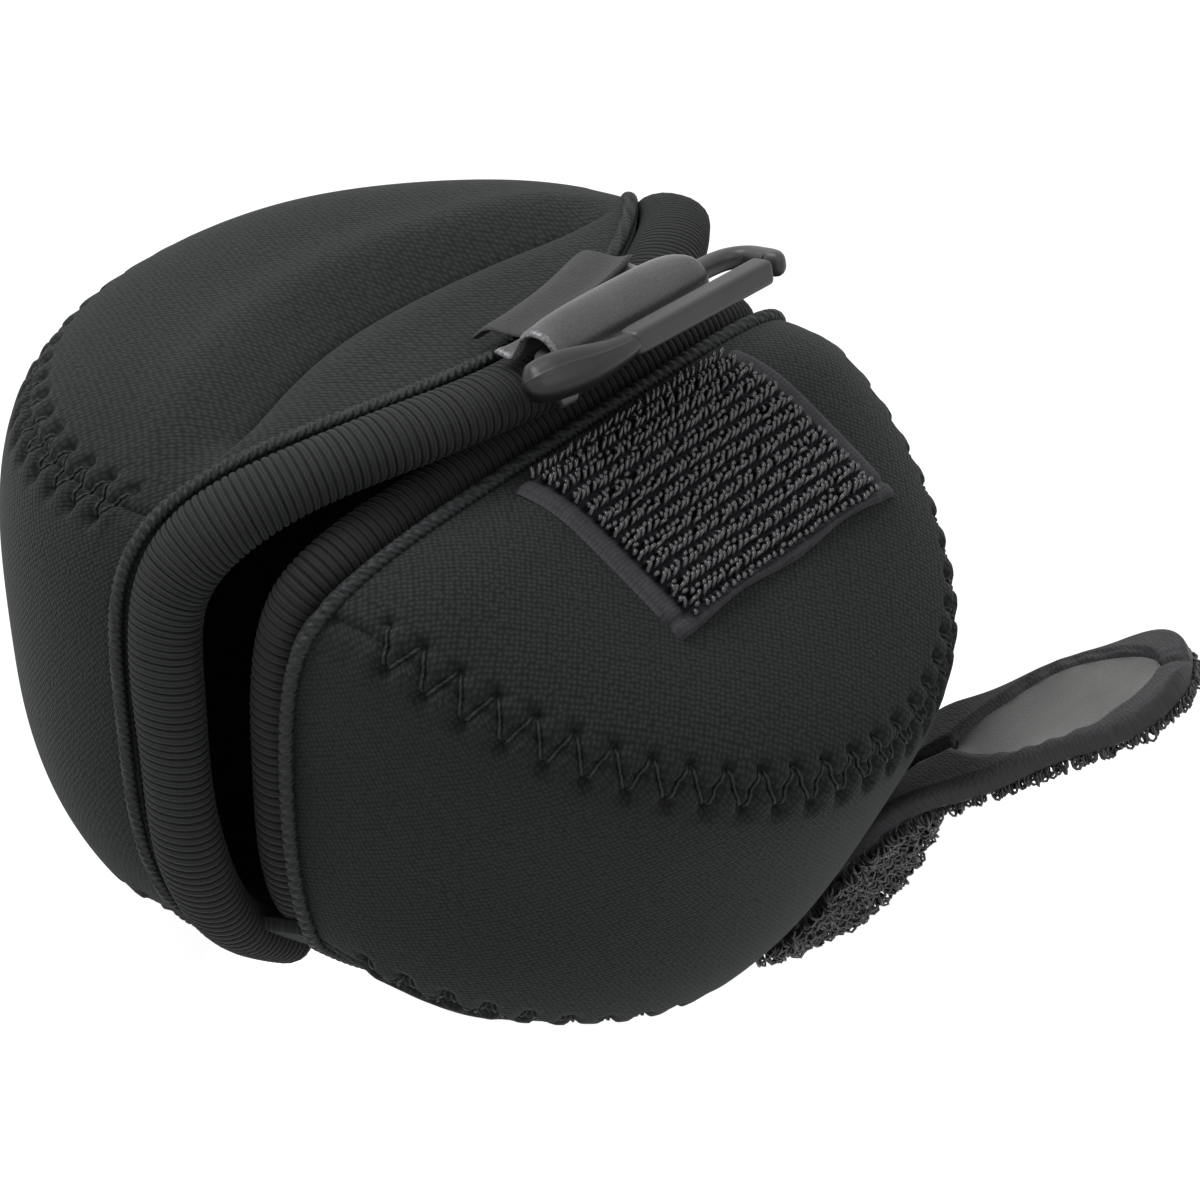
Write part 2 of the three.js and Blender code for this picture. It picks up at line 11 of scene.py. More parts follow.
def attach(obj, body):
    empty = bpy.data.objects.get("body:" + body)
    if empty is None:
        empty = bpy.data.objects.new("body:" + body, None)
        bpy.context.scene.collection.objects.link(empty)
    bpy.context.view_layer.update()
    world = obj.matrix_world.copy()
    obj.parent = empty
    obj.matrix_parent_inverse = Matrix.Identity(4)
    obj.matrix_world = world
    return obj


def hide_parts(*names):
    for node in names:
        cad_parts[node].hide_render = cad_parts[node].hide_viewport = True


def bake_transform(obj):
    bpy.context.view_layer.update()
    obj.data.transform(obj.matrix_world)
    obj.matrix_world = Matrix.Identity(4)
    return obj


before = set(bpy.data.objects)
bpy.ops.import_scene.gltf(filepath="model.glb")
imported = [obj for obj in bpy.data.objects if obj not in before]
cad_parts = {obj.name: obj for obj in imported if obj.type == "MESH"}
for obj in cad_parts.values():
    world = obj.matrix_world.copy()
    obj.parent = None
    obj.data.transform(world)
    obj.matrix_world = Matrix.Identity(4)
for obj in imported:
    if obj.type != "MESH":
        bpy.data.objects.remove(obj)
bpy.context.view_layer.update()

MM = 0.001
SHIFT = np.array([0.005, 18.231, 0.0])
RNG = np.random.default_rng(11)

# The lobes, as the part's source gives them: halves of rounded drums cut by the mouth
REAR = SimpleNamespace(
    side=1, half_width=40.5, depth=34.0, crown=30.2, bowl=32.0, top_roundness=4.5, base_roundness=2.5,
    lean=math.radians(5), yaw=math.radians(3), centre=np.array([0.0, 1.9, 32.4]),
    top_seam=math.radians(41), base_seam=math.radians(-38), bow=19.2, rib=0.76, slim=0.0, lip_drop=0.0,
    roll_half_width=3.4, roll_half_height=2.6, roll_inset=1.0,
)
FRONT = SimpleNamespace(
    side=-1, half_width=35.5, depth=42.0, crown=18.5, bowl=35.8, top_roundness=4.6, base_roundness=4.2,
    lean=math.radians(26), yaw=0.0, centre=np.array([-1.4, -15.5, 43.6]),
    top_seam=math.radians(36), base_seam=math.radians(-38), bow=0.0, rib=0.93, slim=0.45, lip_drop=3.6,
    roll_half_width=2.8, roll_half_height=2.2, roll_inset=2.6,
)
WALL = 2.6
PIECE_GAP = 0.4
FOLD_HALF_WIDTH = 10.0
MIDDLE_TURN, END_TURN, END_TUCK = 2.6, 1.6, 5.0
MIDDLE_FLAT, FLAT_SPREAD = 0.28, 1.4
LIP_DROP_REACH = 10.0
CREASE_REACH, CREASE_HALF_WIDTH, CREASE_OFFSET = 8.75, 31.0, -2.6
CREASE_DEPTH, CREASE_FRONT, CREASE_BACK = 1.6, 4.2, 2.6
ROLL_GAP, LIP_ALLOWANCE = 0.9, 1.2
RIDGE_RADIUS = 0.8
LIP_END_HEIGHT = 6.0
STITCH_WIDTH, STITCH_PITCH = 4.8, 3.8
THREAD_RADIUS = 0.17
WAVE_SIZE, WAVE_REACH = 16.0, 0.28
ROLL_TUCK, ROLL_SPARE, ROLL_POWER, RIB_DEPTH, RIB_POWER = 0.45, 0.2, 2.15, 0.3, 0.35

# What a zigzag seam does to the cloth: the depth and width of its turned edge, of the groove under its thread, of
# its needle holes and of the swelling beside it
EDGE_DEPTH, EDGE_WIDTH, GROOVE_DEPTH, GROOVE_WIDTH = 0.55, 0.65, 0.30, 0.45
HOLE_DEPTH, HOLE_WIDTH, SWELLING, SWELLING_WIDTH = 0.75, 0.75, 0.35, 4.2

# The crease's fold in the rear top: a slit, its shoulders' reach, and padding of a height, a place behind the crease
# and a width on either side
SLIT, SHOULDER_BACK, SHOULDER_FRONT = 0.35, 1.8, 0.4
PADDING = (0.75, -2.4, 2.0), (0.6, 5.0, 2.2)

# The hook tape, the tab and the tape over its root, and where the clip is
HOOK_WIDTH, HOOK_LENGTH, HOOK_FROM_LIP, HOOK_OFFSET = 33.2, 20.4, 1.6, 3.2
SELVEDGE, HOOK_HEM = 2.0, 1.5
HOOK_ROW_PITCH, HOOK_PITCH, FIRST_ROW, HALF_ROW_APART = 1.5, 0.8, 0.8, 0.3
HOOK_RADIUS, HOOK_RUN, HOOK_STEM, HOOK_CURL, HOOK_BEND_AT = 0.27, 0.36, 0.45, 0.26, 0.3
TAB_WIDTH, TAB_THICKNESS, TAB_GAP, TAB_ROOT, TAB_OFFSET, TAB_FLAP = 18.0, 0.8, 0.6, 2.0, -2.0, 3.6
TAB_LEFT, TAB_RIGHT = TAB_OFFSET - TAB_WIDTH / 2, TAB_OFFSET + TAB_WIDTH / 2
TAPE_REACH, TAPE_DROP, TAPE_THICKNESS = 2.4, 1.5, 0.6
TAPE_LAP, TAPE_LIFT = 1.1, 1.0
CLIP_CENTRE = np.array([5.3, -23.1, 68.15])


def unit(v):
    """Each vector over its own length."""
    return v / np.maximum(np.linalg.norm(v, axis=-1, keepdims=True), 1e-12)


def dot(a, b):
    """Sum of products over the last axis, kept as a column."""
    return np.sum(a * b, axis=-1, keepdims=True)


def turned(v, axis, angle):
    """v turned about a unit axis: its part along the axis stays, the rest swings by the angle."""
    axis = np.broadcast_to(axis, v.shape)
    c, s = np.cos(angle), np.sin(angle)
    if np.ndim(angle):
        c, s = c[..., None], s[..., None]
    return v * c + np.cross(axis, v) * s + axis * dot(axis, v) * (1 - c)


def smoothstep(low, high, value):
    """3t squared less 2t cubed, where t runs from 0 at low to 1 at high."""
    t = np.clip((value - low) / (high - low), 0, 1)
    return t * t * (3 - 2 * t)


def bell(value, width):
    """A bell curve that is 1 at zero and falls to a third at the width."""
    return np.exp(-(value / width) ** 2)


def quarter_round(away, width, least=0.0):
    """A quarter circle's height over the distance from an edge: 1 beyond its width, and no lower than least."""
    return np.sqrt(np.clip(1 - np.clip(1 - away / width, 0, 1) ** 2, least, 1))


def flat_topped(value, power, least=0.0):
    """1 over most of the way from -1 to 1, and rounded off at both ends, more sharply for a higher power."""
    return np.sqrt(np.clip(1 - np.abs(value) ** power, least, 1))


def beside(*values):
    """Values side by side on a last axis."""
    return np.stack(np.broadcast_arrays(*values), -1)


def through(stops, share):
    """A centripetal curve through stops, at shares of its knots: a cubic between each two stops whose slopes
    weigh the chords beside it by the square roots of their lengths."""
    stops = np.asarray(stops, float)
    padded = np.concatenate([[2 * stops[0] - stops[1]], stops, [2 * stops[-1] - stops[-2]]])
    gaps = np.maximum(np.linalg.norm(np.diff(padded, axis=0), axis=1) ** 0.5, 1e-6)
    at = np.clip(np.asarray(share) * (len(stops) - 1), 0, len(stops) - 1 - 1e-9)
    i = at.astype(int)
    t = (at - i)[:, None]
    p0, p1, p2, p3 = (padded[i + k] for k in range(4))
    g0, g1, g2 = (gaps[i + k][:, None] for k in range(3))
    m1 = g1 * ((p1 - p0) / g0 - (p2 - p0) / (g0 + g1) + (p2 - p1) / g1)
    m2 = g1 * ((p2 - p1) / g1 - (p3 - p1) / (g1 + g2) + (p3 - p2) / g2)
    return ((2 * t ** 3 - 3 * t ** 2 + 1) * p1 + (t ** 3 - 2 * t ** 2 + t) * m1
            + (3 * t ** 2 - 2 * t ** 3) * p2 + (t ** 3 - t ** 2) * m2)


def softened(rows, reach):
    """Rows smoothed along the first axis by a bell of the given reach in rows, ends held."""
    half = int(3 * reach)
    weights = bell(np.arange(-half, half + 1), reach)
    weights /= weights.sum()
    padded = np.concatenate([2 * rows[:1] - rows[half:0:-1], rows, 2 * rows[-1:] - rows[-2:-half - 2:-1]])
    return sum(w * padded[k:k + len(rows)] for k, w in enumerate(weights))


def direction(points, axis=0):
    """The direction along an axis of points."""
    return unit(np.gradient(points, axis=axis))


def arc_lengths(points, axis=0):
    """Lengths run along an axis of points, from zero."""
    steps = np.diff(points, axis=axis, prepend=np.take(points, [0], axis))
    return np.cumsum(np.linalg.norm(steps, axis=-1), axis)


def evenly(points, *others, count):
    """Points moved along their own polyline to equal arc lengths, with other rows carried along, and the lengths."""
    length = arc_lengths(points)
    wanted = np.linspace(0, length[-1], count)
    rows = [np.stack([np.interp(wanted, length, row[:, k]) for k in range(row.shape[1])], 1)
            for row in (points, *others)]
    return (*rows, wanted)


# The lobes' surfaces
def profile(lobe, angle, inset):
    """Superellipse: radius share is cos over the root of powers, height is rise times sin over the same root."""
    upper = angle > 0
    power = np.where(upper, lobe.top_roundness, lobe.base_roundness)
    rise = np.where(upper, lobe.crown, lobe.bowl) - inset
    size = (np.abs(np.cos(angle)) ** power + np.abs(np.sin(angle)) ** power) ** (1 / power)
    return np.cos(angle) / size, rise * np.sin(angle) / size


def place(lobe, x, y, z):
    """A lobe's own x, y, z to the part's: bowed towards the mouth, lip let down, leaned, yawed and moved."""
    mid = np.maximum(0, 1 - (x / lobe.half_width) ** 2)
    near = np.maximum(0, 1 - np.maximum(0, y) / lobe.depth)
    upper = smoothstep(0, lobe.crown, z)
    bowed = y - lobe.bow * mid * near ** 2 * upper
    lip = np.maximum(0, 1 - np.maximum(0, y + LIP_ALLOWANCE) / LIP_DROP_REACH)
    lowered = z - lobe.lip_drop * lip ** 2 * upper
    own = beside(x, lobe.side * bowed, lowered)
    own = turned(own, np.array([1.0, 0, 0]), -lobe.side * lobe.lean)
    return turned(own, np.array([0, 0, 1.0]), lobe.yaw) + lobe.centre


REAR_REACH = LIP_ALLOWANCE + ROLL_GAP + 2 * REAR.roll_half_width
FRONT_REACH = ROLL_GAP + 2 * FRONT.roll_half_width
FOLD_Y = REAR.centre[1] - REAR_REACH - 0.5 * PIECE_GAP


def edge_offset(lobe, height, x):
    """How far the cut edge lies from the lobe's middle plane: constant behind, and in front a soft maximum of
    that and what keeps the lips clear of each other."""
    if lobe.side > 0:
        return np.full(np.shape(height), -LIP_ALLOWANCE)
    clear = REAR.centre[1] + x * math.tan(REAR.yaw) - REAR_REACH - PIECE_GAP - FRONT_REACH
    over = (FRONT.centre[1] - height * math.sin(FRONT.lean) - clear) / math.cos(FRONT.lean) + LIP_ALLOWANCE
    blend = FRONT.roll_half_width
    return -LIP_ALLOWANCE + 0.5 * (over + np.sqrt(over * over + blend * blend)) - 0.25 * blend


def rim(lobe, angle, station, inset, back):
    """Own x, y, z on the ring at an angle, from its left lip to its right one."""
    share, height = profile(lobe, angle, inset)
    reach, width = (lobe.depth - inset) * share, (lobe.half_width - inset) * share
    left = np.arcsin(np.clip((edge_offset(lobe, height, -width) + back) / reach, -1, 1))
    right = np.arcsin(np.clip((edge_offset(lobe, height, width) + back) / reach, -1, 1))
    turn = math.pi - left - (math.pi - left - right) * station
    return width * np.cos(turn), reach * np.sin(turn), height


def crease_place(x, y):
    """Distance behind the crease's arc over the rear top, and how strong the crease is: it fades at the arc's ends
    and at the lip."""
    bulge = np.maximum(0, 1 - ((x - CREASE_OFFSET) / CREASE_HALF_WIDTH) ** 2)
    return y - CREASE_REACH * bulge, np.sqrt(bulge) * smoothstep(0, CREASE_REACH / 2, y)


def crown_height(lobe, x, y, inset):
    """Height of a lobe's top over own x, y: crown times the root of 1 less the size to the roundness. The rear top
    is lower beside its crease, by a bell that is wider in front of it."""
    size = np.hypot(x / (lobe.half_width - inset), y / (lobe.depth - inset))
    crown = (1 - np.minimum(size, 1) ** lobe.top_roundness) ** (1 / lobe.top_roundness)
    away, strength = crease_place(x, y)
    drop = CREASE_DEPTH * strength * bell(away, np.where(away > 0, CREASE_BACK, CREASE_FRONT))
    return (lobe.crown - inset - (drop if lobe is REAR else 0)) * crown


def crown_point(lobe, x, y, inset=0.0):
    """A point on a lobe's top from its own x, y."""
    return place(lobe, x, y, crown_height(lobe, x, y, inset))


def crown_own(lobe, station, level, inset=0.0, back=0.0):
    """Own x, y on the top panel, which runs from its seam at level 2 in to the middle of the lip at level 3."""
    x, y, height = rim(lobe, lobe.top_seam, station, inset, back)
    middle = edge_offset(lobe, height, 0.0) + back
    share = 3 - level
    return x * share, middle + (y - middle) * share


def lobe_point(lobe, station, level, inset=0.0, back=0.0):
    """A point at a station from the left lip to the right one: level 0 to 1 over the base, 1 to 2 up the side and
    2 to 3 over the top."""
    station, level = np.broadcast_arrays(np.asarray(station, float), np.asarray(level, float))
    rise = np.clip(level - 1, 0, 1)
    side = place(lobe, *rim(lobe, lobe.base_seam + (lobe.top_seam - lobe.base_seam) * rise, station, inset, back))
    side[..., 2] = np.maximum(side[..., 2], inset)
    top = crown_point(lobe, *crown_own(lobe, station, np.clip(level, 2, 3), inset, back), inset)
    seam = place(lobe, *rim(lobe, np.full(station.shape, lobe.base_seam), station, inset, 0.0))
    seam[..., 2] = np.maximum(seam[..., 2], inset)
    low = np.clip(level, 0, 1)
    middle = np.minimum(1, FLAT_SPREAD * np.sin(math.pi * station))
    flat, bend = MIDDLE_FLAT * middle, END_TURN + (MIDDLE_TURN - END_TURN) * middle
    tuck = 1 + END_TUCK * (1 - middle) ** 2
    fold_x = (2 * station - 1) * FOLD_HALF_WIDTH
    fold_y = FOLD_Y + 0.5 * lobe.side * PIECE_GAP
    base = beside(
        fold_x + (seam[..., 0] - fold_x) * low,
        seam[..., 1] + (fold_y - seam[..., 1]) * (1 - low) ** tuck,
        inset + (seam[..., 2] - inset) * (np.maximum(0, low - flat) / (1 - flat)) ** bend,
    )
    level = level[..., None]
    return np.where(level > 2, top, np.where(level >= 1, side, base))


def square_to(point, lobe, u, v, step):
    """The direction square to a lobe's surface: the cross product of its slopes over its two coordinates."""
    along = point(lobe, u + step, v) - point(lobe, u - step, v)
    rising = point(lobe, u, v + step) - point(lobe, u, v - step)
    return lobe.side * unit(np.cross(along, rising))


def outward(lobe, station, level):
    """The direction out of a lobe at a station and level."""
    return -square_to(lobe_point, lobe, np.clip(station, 1e-3, 1 - 1e-3), level, 1e-3)


def crown_out(lobe, x, y):
    """The direction out of a lobe's top over own x, y."""
    return square_to(crown_point, lobe, x, y, 0.05)


# Meshes from arrays
def grid_faces(rows, cols):
    """Quads of a grid of rows by cols points whose last column joins its first, and each corner's row and column."""
    r, c = (v.ravel() for v in np.meshgrid(np.arange(rows - 1), np.arange(cols), indexing="ij"))
    rr = np.stack([r, r, r + 1, r + 1], 1)
    cc = np.stack([c, c + 1, c + 1, c], 1)
    return rr * cols + cc % cols, rr, cc


def signed_volume(points, faces):
    """Sum over the faces of the tetrahedra to the middle: positive when they face out."""
    total = 0.0
    p = points - points.mean(0)
    for face in faces:
        for k in range(1, face.shape[1] - 1):
            total += np.sum(p[face[:, 0]] * np.cross(p[face[:, k]], p[face[:, k + 1]]))
    return total


def in_scene(name, data):
    """A new object of the scene."""
    made = bpy.data.objects.new(name, data)
    bpy.context.scene.collection.objects.link(made)
    return made


def new_piece(name, points, faces, uvs, material, body, slot, replaced=()):
    """A piece from points in millimetres and lists of faces with a cloth coordinate in millimetres a corner. It rides
    on a body, or on none."""
    if signed_volume(points, faces) < 0:
        faces = [face[:, ::-1] for face in faces]
        uvs = [uv[:, ::-1] for uv in uvs]
    corners = np.concatenate([face.ravel() for face in faces]).astype(np.int32)
    counts = np.concatenate([np.full(len(face), face.shape[1]) for face in faces])
    mesh = bpy.data.meshes.new(name)
    mesh.vertices.add(len(points))
    mesh.vertices.foreach_set("co", ((points + SHIFT) * MM).astype(np.float32).ravel())
    mesh.loops.add(len(corners))
    mesh.polygons.add(len(counts))
    mesh.polygons.foreach_set("loop_start", (np.cumsum(counts) - counts).astype(np.int32))
    mesh.polygons.foreach_set("vertices", corners)
    mesh.polygons.foreach_set("use_smooth", np.ones(len(counts), bool))
    mesh.update(calc_edges=True)
    layer = mesh.uv_layers.new(name="cloth")
    layer.data.foreach_set("uv", np.concatenate([uv.reshape(-1, 2) for uv in uvs]).astype(np.float32).ravel())
    mesh.validate()
    mesh.materials.append(material)
    piece = in_scene(name, mesh)
    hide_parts(*replaced)
    if body:
        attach(piece, body)
    return piece


def slab(outer, inner, uv):
    """Points, faces and cloth coordinates of a sheet between two grids of rows by cols points. Each ring runs out
    along the outer line and back along the inner one, and the ends are closed."""
    rows, cols = outer.shape[:2]
    ring = np.concatenate([outer, inner[:, ::-1]], 1).reshape(-1, 3)
    index, _, _ = grid_faces(rows, 2 * cols)
    k = np.arange(cols - 1)
    first = np.stack([k, 2 * cols - 1 - k, 2 * cols - 2 - k, k + 1], 1)
    ends = np.concatenate([first, first[:, ::-1] + (rows - 1) * 2 * cols])
    ring_uv = np.concatenate([uv, uv[:, ::-1]], 1).reshape(-1, 2)
    return ring, [index, ends], [ring_uv[index], ring_uv[ends]]


def tube(points, across, up, sides, section=None, perimeter=6.0, lengths=None):
    """Points, faces and cloth coordinates of a tube: at each row of points, across times the section's cosine
    plus up times its sine. section gives a radius share for each row and side."""
    rows = len(points)
    turn = 2 * math.pi * (np.arange(sides) + 0.5) / sides
    share = np.ones((rows, sides)) if section is None else section(turn)
    ring = (points[:, None] + across[:, None] * (np.cos(turn) * share)[..., None]
            + up[:, None] * (np.sin(turn) * share)[..., None])
    index, rr, cc = grid_faces(rows, sides)
    if lengths is None:
        lengths = arc_lengths(points)
    uv = beside(lengths[rr], cc * perimeter / sides)
    caps = np.stack([points[0], points[-1]])
    flat = np.concatenate([ring.reshape(-1, 3), caps])
    here = np.arange(sides)
    after, far = (here + 1) % sides, (rows - 1) * sides
    start = np.stack([np.full(sides, rows * sides), after, here], 1)
    end = np.stack([np.full(sides, rows * sides + 1), far + here, far + after], 1)
    return flat, [index, np.concatenate([start, end])], [uv, np.zeros((2 * sides, 3, 2))]


def yarns(paths, first, second, radius, sides, pitch, offsets, caps=2):
    """Points, faces and cloth coordinates of many short yarns: at each point of each path a ring, first times its
    cosine plus second times its sine. The far end is capped, or both. Each yarn has its own offset on the cloth."""
    count, rows = paths.shape[:2]
    turn = 2 * math.pi * np.arange(sides) / sides
    rings = (paths[:, :, None] + radius * (first[:, :, None] * np.cos(turn)[:, None]
             + second[:, :, None] * np.sin(turn)[:, None]))
    index, rr, cc = grid_faces(rows, sides)
    here = np.arange(sides)
    ends = np.stack([here[::-1], (rows - 1) * sides + here])[-caps:]
    faces = [(part + (np.arange(count) * rows * sides)[:, None, None]).reshape(-1, part.shape[1])
             for part in (index, ends)]
    uv = beside(rr * pitch, cc * 0.2) + offsets[:, None, None]
    return rings.reshape(-1, 3), faces, [uv.reshape(-1, 4, 2), np.zeros((count * caps, sides, 2))]


# Materials
NO_SHEEN, NO_COAT = (0.0, 0.5, "ffffff"), (0.0, 0.03)


def colour(text):
    """A hex colour from the screen's scale to a linear one."""
    value = np.array([int(text[k:k + 2], 16) for k in (0, 2, 4)]) / 255
    linear = np.where(value <= 0.04045, value / 12.92, ((value + 0.055) / 1.055) ** 2.4)
    return (*linear.tolist(), 1.0)


def emptied(owner):
    """The node tree of a material or world, emptied."""
    owner.use_nodes = True
    owner.node_tree.nodes.clear()
    return owner.node_tree


def add(tree, kind, inputs=(), **settings):
    """Adds a node, sets its settings, and gives each input, by name or number, a value or a link."""
    made = tree.nodes.new(kind)
    for key, value in settings.items():
        setattr(made, key, value)
    for name, value in dict(inputs).items():
        if isinstance(value, bpy.types.NodeSocket):
            tree.links.new(value, made.inputs[name])
        else:
            made.inputs[name].default_value = value
    return made


def maths(tree, operation, a, b=0.0, c=0.0):
    """One arithmetic step on up to three values."""
    return add(tree, "ShaderNodeMath", {0: a, 1: b, 2: c}, operation=operation).outputs["Value"]


def mapped(tree, value, low, high, to_low=0.0, to_high=1.0):
    """A value between low and high carried to another range, and held at that range's ends."""
    return add(tree, "ShaderNodeMapRange", {"Value": value, "From Min": low, "From Max": high, "To Min": to_low,
                                            "To Max": to_high}).outputs["Result"]


def placed(tree, coordinate, scale=(1, 1, 1), turn=0.0, move=(0, 0, 0)):
    """A coordinate scaled, turned by degrees in its plane and moved."""
    return add(tree, "ShaderNodeMapping", {"Vector": coordinate, "Scale": scale, "Location": move,
                                           "Rotation": (0, 0, math.radians(turn))}).outputs["Vector"]


def component(tree, coordinate, axis):
    """One component of a coordinate."""
    return add(tree, "ShaderNodeSeparateXYZ", {"Vector": coordinate}).outputs[axis]


def noise(tree, coordinate, size, detail=2.0):
    """Noise whose blotches are about the given size across, in the coordinate's own unit."""
    return add(tree, "ShaderNodeTexNoise", {"Vector": coordinate, "Scale": 1 / size, "Detail": detail}).outputs["Fac"]


def crowns(tree, cloth, pitch, peak, turn=0.0, jitter=0.0):
    """Height over a turned grid of loops, loosened by a jitter: a peak less the distance from a loop's middle."""
    grid = placed(tree, cloth, (1 / pitch, 1 / pitch, 1), turn)
    away = add(tree, "ShaderNodeTexVoronoi", {"Vector": grid, "Scale": 1.0, "Randomness": jitter},
               voronoi_dimensions="2D").outputs["Distance"]
    return maths(tree, "SUBTRACT", peak, away)


def ramp(tree, factor, *stops):
    """A colour ramp through stops of a place and a hex colour."""
    made = add(tree, "ShaderNodeValToRGB", {"Fac": factor})
    elements = made.color_ramp.elements
    while len(elements) < len(stops):
        elements.new(0.5)
    for element, (at, text) in zip(elements, stops):
        element.position, element.color = at, colour(text)
    return made.outputs["Color"]


def mixed(tree, factor, a, b, blend="MIX"):
    """Two colours mixed by a factor."""
    return add(tree, "ShaderNodeMix", {0: factor, 6: a, 7: b}, data_type="RGBA", blend_type=blend).outputs[2]


def darkened(tree, base, blotch, dark):
    """A colour multiplied by a dark one where the blotches are low."""
    return mixed(tree, 1.0, base, ramp(tree, blotch, (0.3, dark), (0.7, "ffffff")), "MULTIPLY")


def started(name):
    """An empty node material, its tree and its cloth coordinate in millimetres."""
    material = bpy.data.materials.new(name)
    tree = emptied(material)
    return material, tree, add(tree, "ShaderNodeUVMap", uv_map="cloth").outputs["UV"]


def surfaced(tree, base, roughness, height, depth, specular=0.5, sheen=NO_SHEEN, coat=NO_COAT):
    """Ends a material: a principled surface with a sheen of a weight, a roughness and a tint, a coat of a weight
    and a roughness, and a bump whose depth is in metres."""
    bump = add(tree, "ShaderNodeBump", {"Height": height, "Distance": depth, "Strength": 1.0}).outputs["Normal"]
    shader = add(tree, "ShaderNodeBsdfPrincipled", {
        "Base Color": base, "Roughness": roughness, "Normal": bump, "Specular IOR Level": specular,
        "Sheen Weight": sheen[0], "Sheen Roughness": sheen[1], "Sheen Tint": colour(sheen[2]),
        "Coat Weight": coat[0], "Coat Roughness": coat[1]})
    add(tree, "ShaderNodeOutputMaterial", {"Surface": shader.outputs["BSDF"]})


def patterned(name, pattern, stops, roughness, depth, blotches=(), share=0.0, **finish):
    """A material whose colour runs through stops along a pattern and darkens in blotches of a size, a detail and a
    dark colour. Its bump is the pattern and a share of the last blotches."""
    material, tree, cloth = started(name)
    height = pattern(tree, cloth)
    base = ramp(tree, height, *stops)
    for size, detail, dark in blotches:
        blotch = noise(tree, cloth, size, detail)
        base = darkened(tree, base, blotch, dark)
    if share:
        height = maths(tree, "MULTIPLY_ADD", blotch, share, height)
    surfaced(tree, base, roughness, height, depth, **finish)
    return material


def jersey_faced_neoprene():
    """Closed-cell rubber laminated with nylon jersey: a fine slanting grid of knit loops at 0.48 mm that is only
    faintly lit on each loop's crown, soft broad patches, and a dull sheen at grazing angles."""
    return patterned(
        "jersey_faced_neoprene", lambda tree, cloth: crowns(tree, cloth, pitch=0.48, peak=0.62, turn=45, jitter=0.4),
        [(0.0, "101211"), (0.3, "242625"), (0.62, "373938")], roughness=0.9, depth=0.00011, share=0.6,
        blotches=[(14.0, 3.0, "e6e6e6"), (0.9, 3.0, "dcdcdc")], specular=0.25, sheen=(0.16, 0.5, "a0a8a6"))


def ribbed_elastic_knit(name, dark, light, pitch):
    """Covered-rubber elastic knitted in ribs: each rib a pair of matt nylon columns with a faint line between them,
    lit along its crown, with painted shade, near black, in the thin groove on either side of it."""
    material, tree, cloth = started(name)
    turn = maths(tree, "MULTIPLY", component(tree, cloth, "X"), math.pi / pitch)
    wave = maths(tree, "ABSOLUTE", maths(tree, "COSINE", turn))
    yarn = noise(tree, cloth, size=0.3)
    # Painted shade: near black where the rib wave is low, in the grooves between ribs; painted lighter along the lit
    # crowns.
    base = ramp(tree, wave, (0.0, "010101"), (0.34, "020202"), (0.5, dark), (0.75, light))
    base = darkened(tree, base, noise(tree, cloth, size=6.0), "d4d4d4")
    base = darkened(tree, base, yarn, "cccccc")
    base = mixed(tree, 1.0, base, ramp(tree, wave, (0.9, "ffffff"), (0.985, "303030")), "MULTIPLY")
    height = maths(tree, "MULTIPLY_ADD", yarn, 0.25, maths(tree, "POWER", wave, 0.5))
    surfaced(tree, base, roughness=0.8, height=height, depth=0.00018, specular=0.35, sheen=(0.12, 0.4, "9aa0a2"))
    return material


def bulked_polyester_thread(name, dark, light):
    """Twisted polyester sewing thread: plies wind round it at a steep slant, with a slight silky gloss."""
    def plies(tree, cloth):
        return add(tree, "ShaderNodeTexWave", {"Vector": placed(tree, cloth, turn=35), "Scale": 0.5, "Distortion": 0.6,
                                               "Detail": 1.0, "Detail Scale": 1.5}).outputs["Fac"]

    return patterned(name, plies, [(0.0, dark), (1.0, light)], roughness=0.6, depth=0.00008, specular=0.3,
                     sheen=(0.08, 0.5, "a9adb0"))


def woven_nylon(name, dark, light, pitch):
    """Close plain weave of nylon tape: small squares of warp and weft, lit on their crowns."""
    return patterned(name, lambda tree, cloth: crowns(tree, cloth, pitch, peak=0.65, turn=30, jitter=0.6),
                     [(0.0, dark), (0.65, light)], roughness=0.7, depth=0.00006, share=1.5,
                     blotches=[(2.5, 3.0, "bdbdbd")], sheen=(0.2, 0.5, "a0a0a4"))


def hook_tape_weave():
    """Nylon hook tape: a close dark weave with a line under each row of hooks, painted near black between the rows and
    darker over the whole ground under the hooks as painted shade, and a smoother, paler selvedge along its two sides
    and its far end."""
    material, tree, cloth = started("woven_hook_tape")
    crown = crowns(tree, cloth, pitch=0.42, peak=0.65, jitter=0.3)
    across, inward = component(tree, cloth, "X"), component(tree, cloth, "Y")
    aside = maths(tree, "ABSOLUTE", maths(tree, "SUBTRACT", across, HOOK_OFFSET))
    side, hem = HOOK_WIDTH / 2 - SELVEDGE, HOOK_FROM_LIP + HOOK_LENGTH - HOOK_HEM
    edge = maths(tree, "MAXIMUM", mapped(tree, aside, side - 0.1, side + 0.3),
                 mapped(tree, inward, hem - 0.1, hem + 0.2))
    row = maths(tree, "SUBTRACT", inward, HOOK_FROM_LIP + FIRST_ROW)
    row = maths(tree, "ABSOLUTE", maths(tree, "COSINE", maths(tree, "MULTIPLY", row, math.pi / HOOK_ROW_PITCH)))
    # Painted shade: the ground under the hooks is painted darker than the selvedge, and near black in the sunk valleys
    # between the rows.
    ground_with_painted_shade = mixed(tree, 0.55, ramp(tree, row, (0.25, "060607"), (0.95, "303034")),
                   ramp(tree, crown, (0.0, "020203"), (0.65, "2c2c30")))
    base = mixed(tree, edge, ground_with_painted_shade, ramp(tree, crown, (0.0, "26262a"), (0.65, "3c3c41")))
    base = darkened(tree, base, noise(tree, cloth, size=1.6, detail=3.0), "bdbdbd")
    surfaced(tree, base, roughness=0.75, height=crown, depth=0.0001, specular=mapped(tree, edge, 0, 1, 0.05, 0.4))
    return material


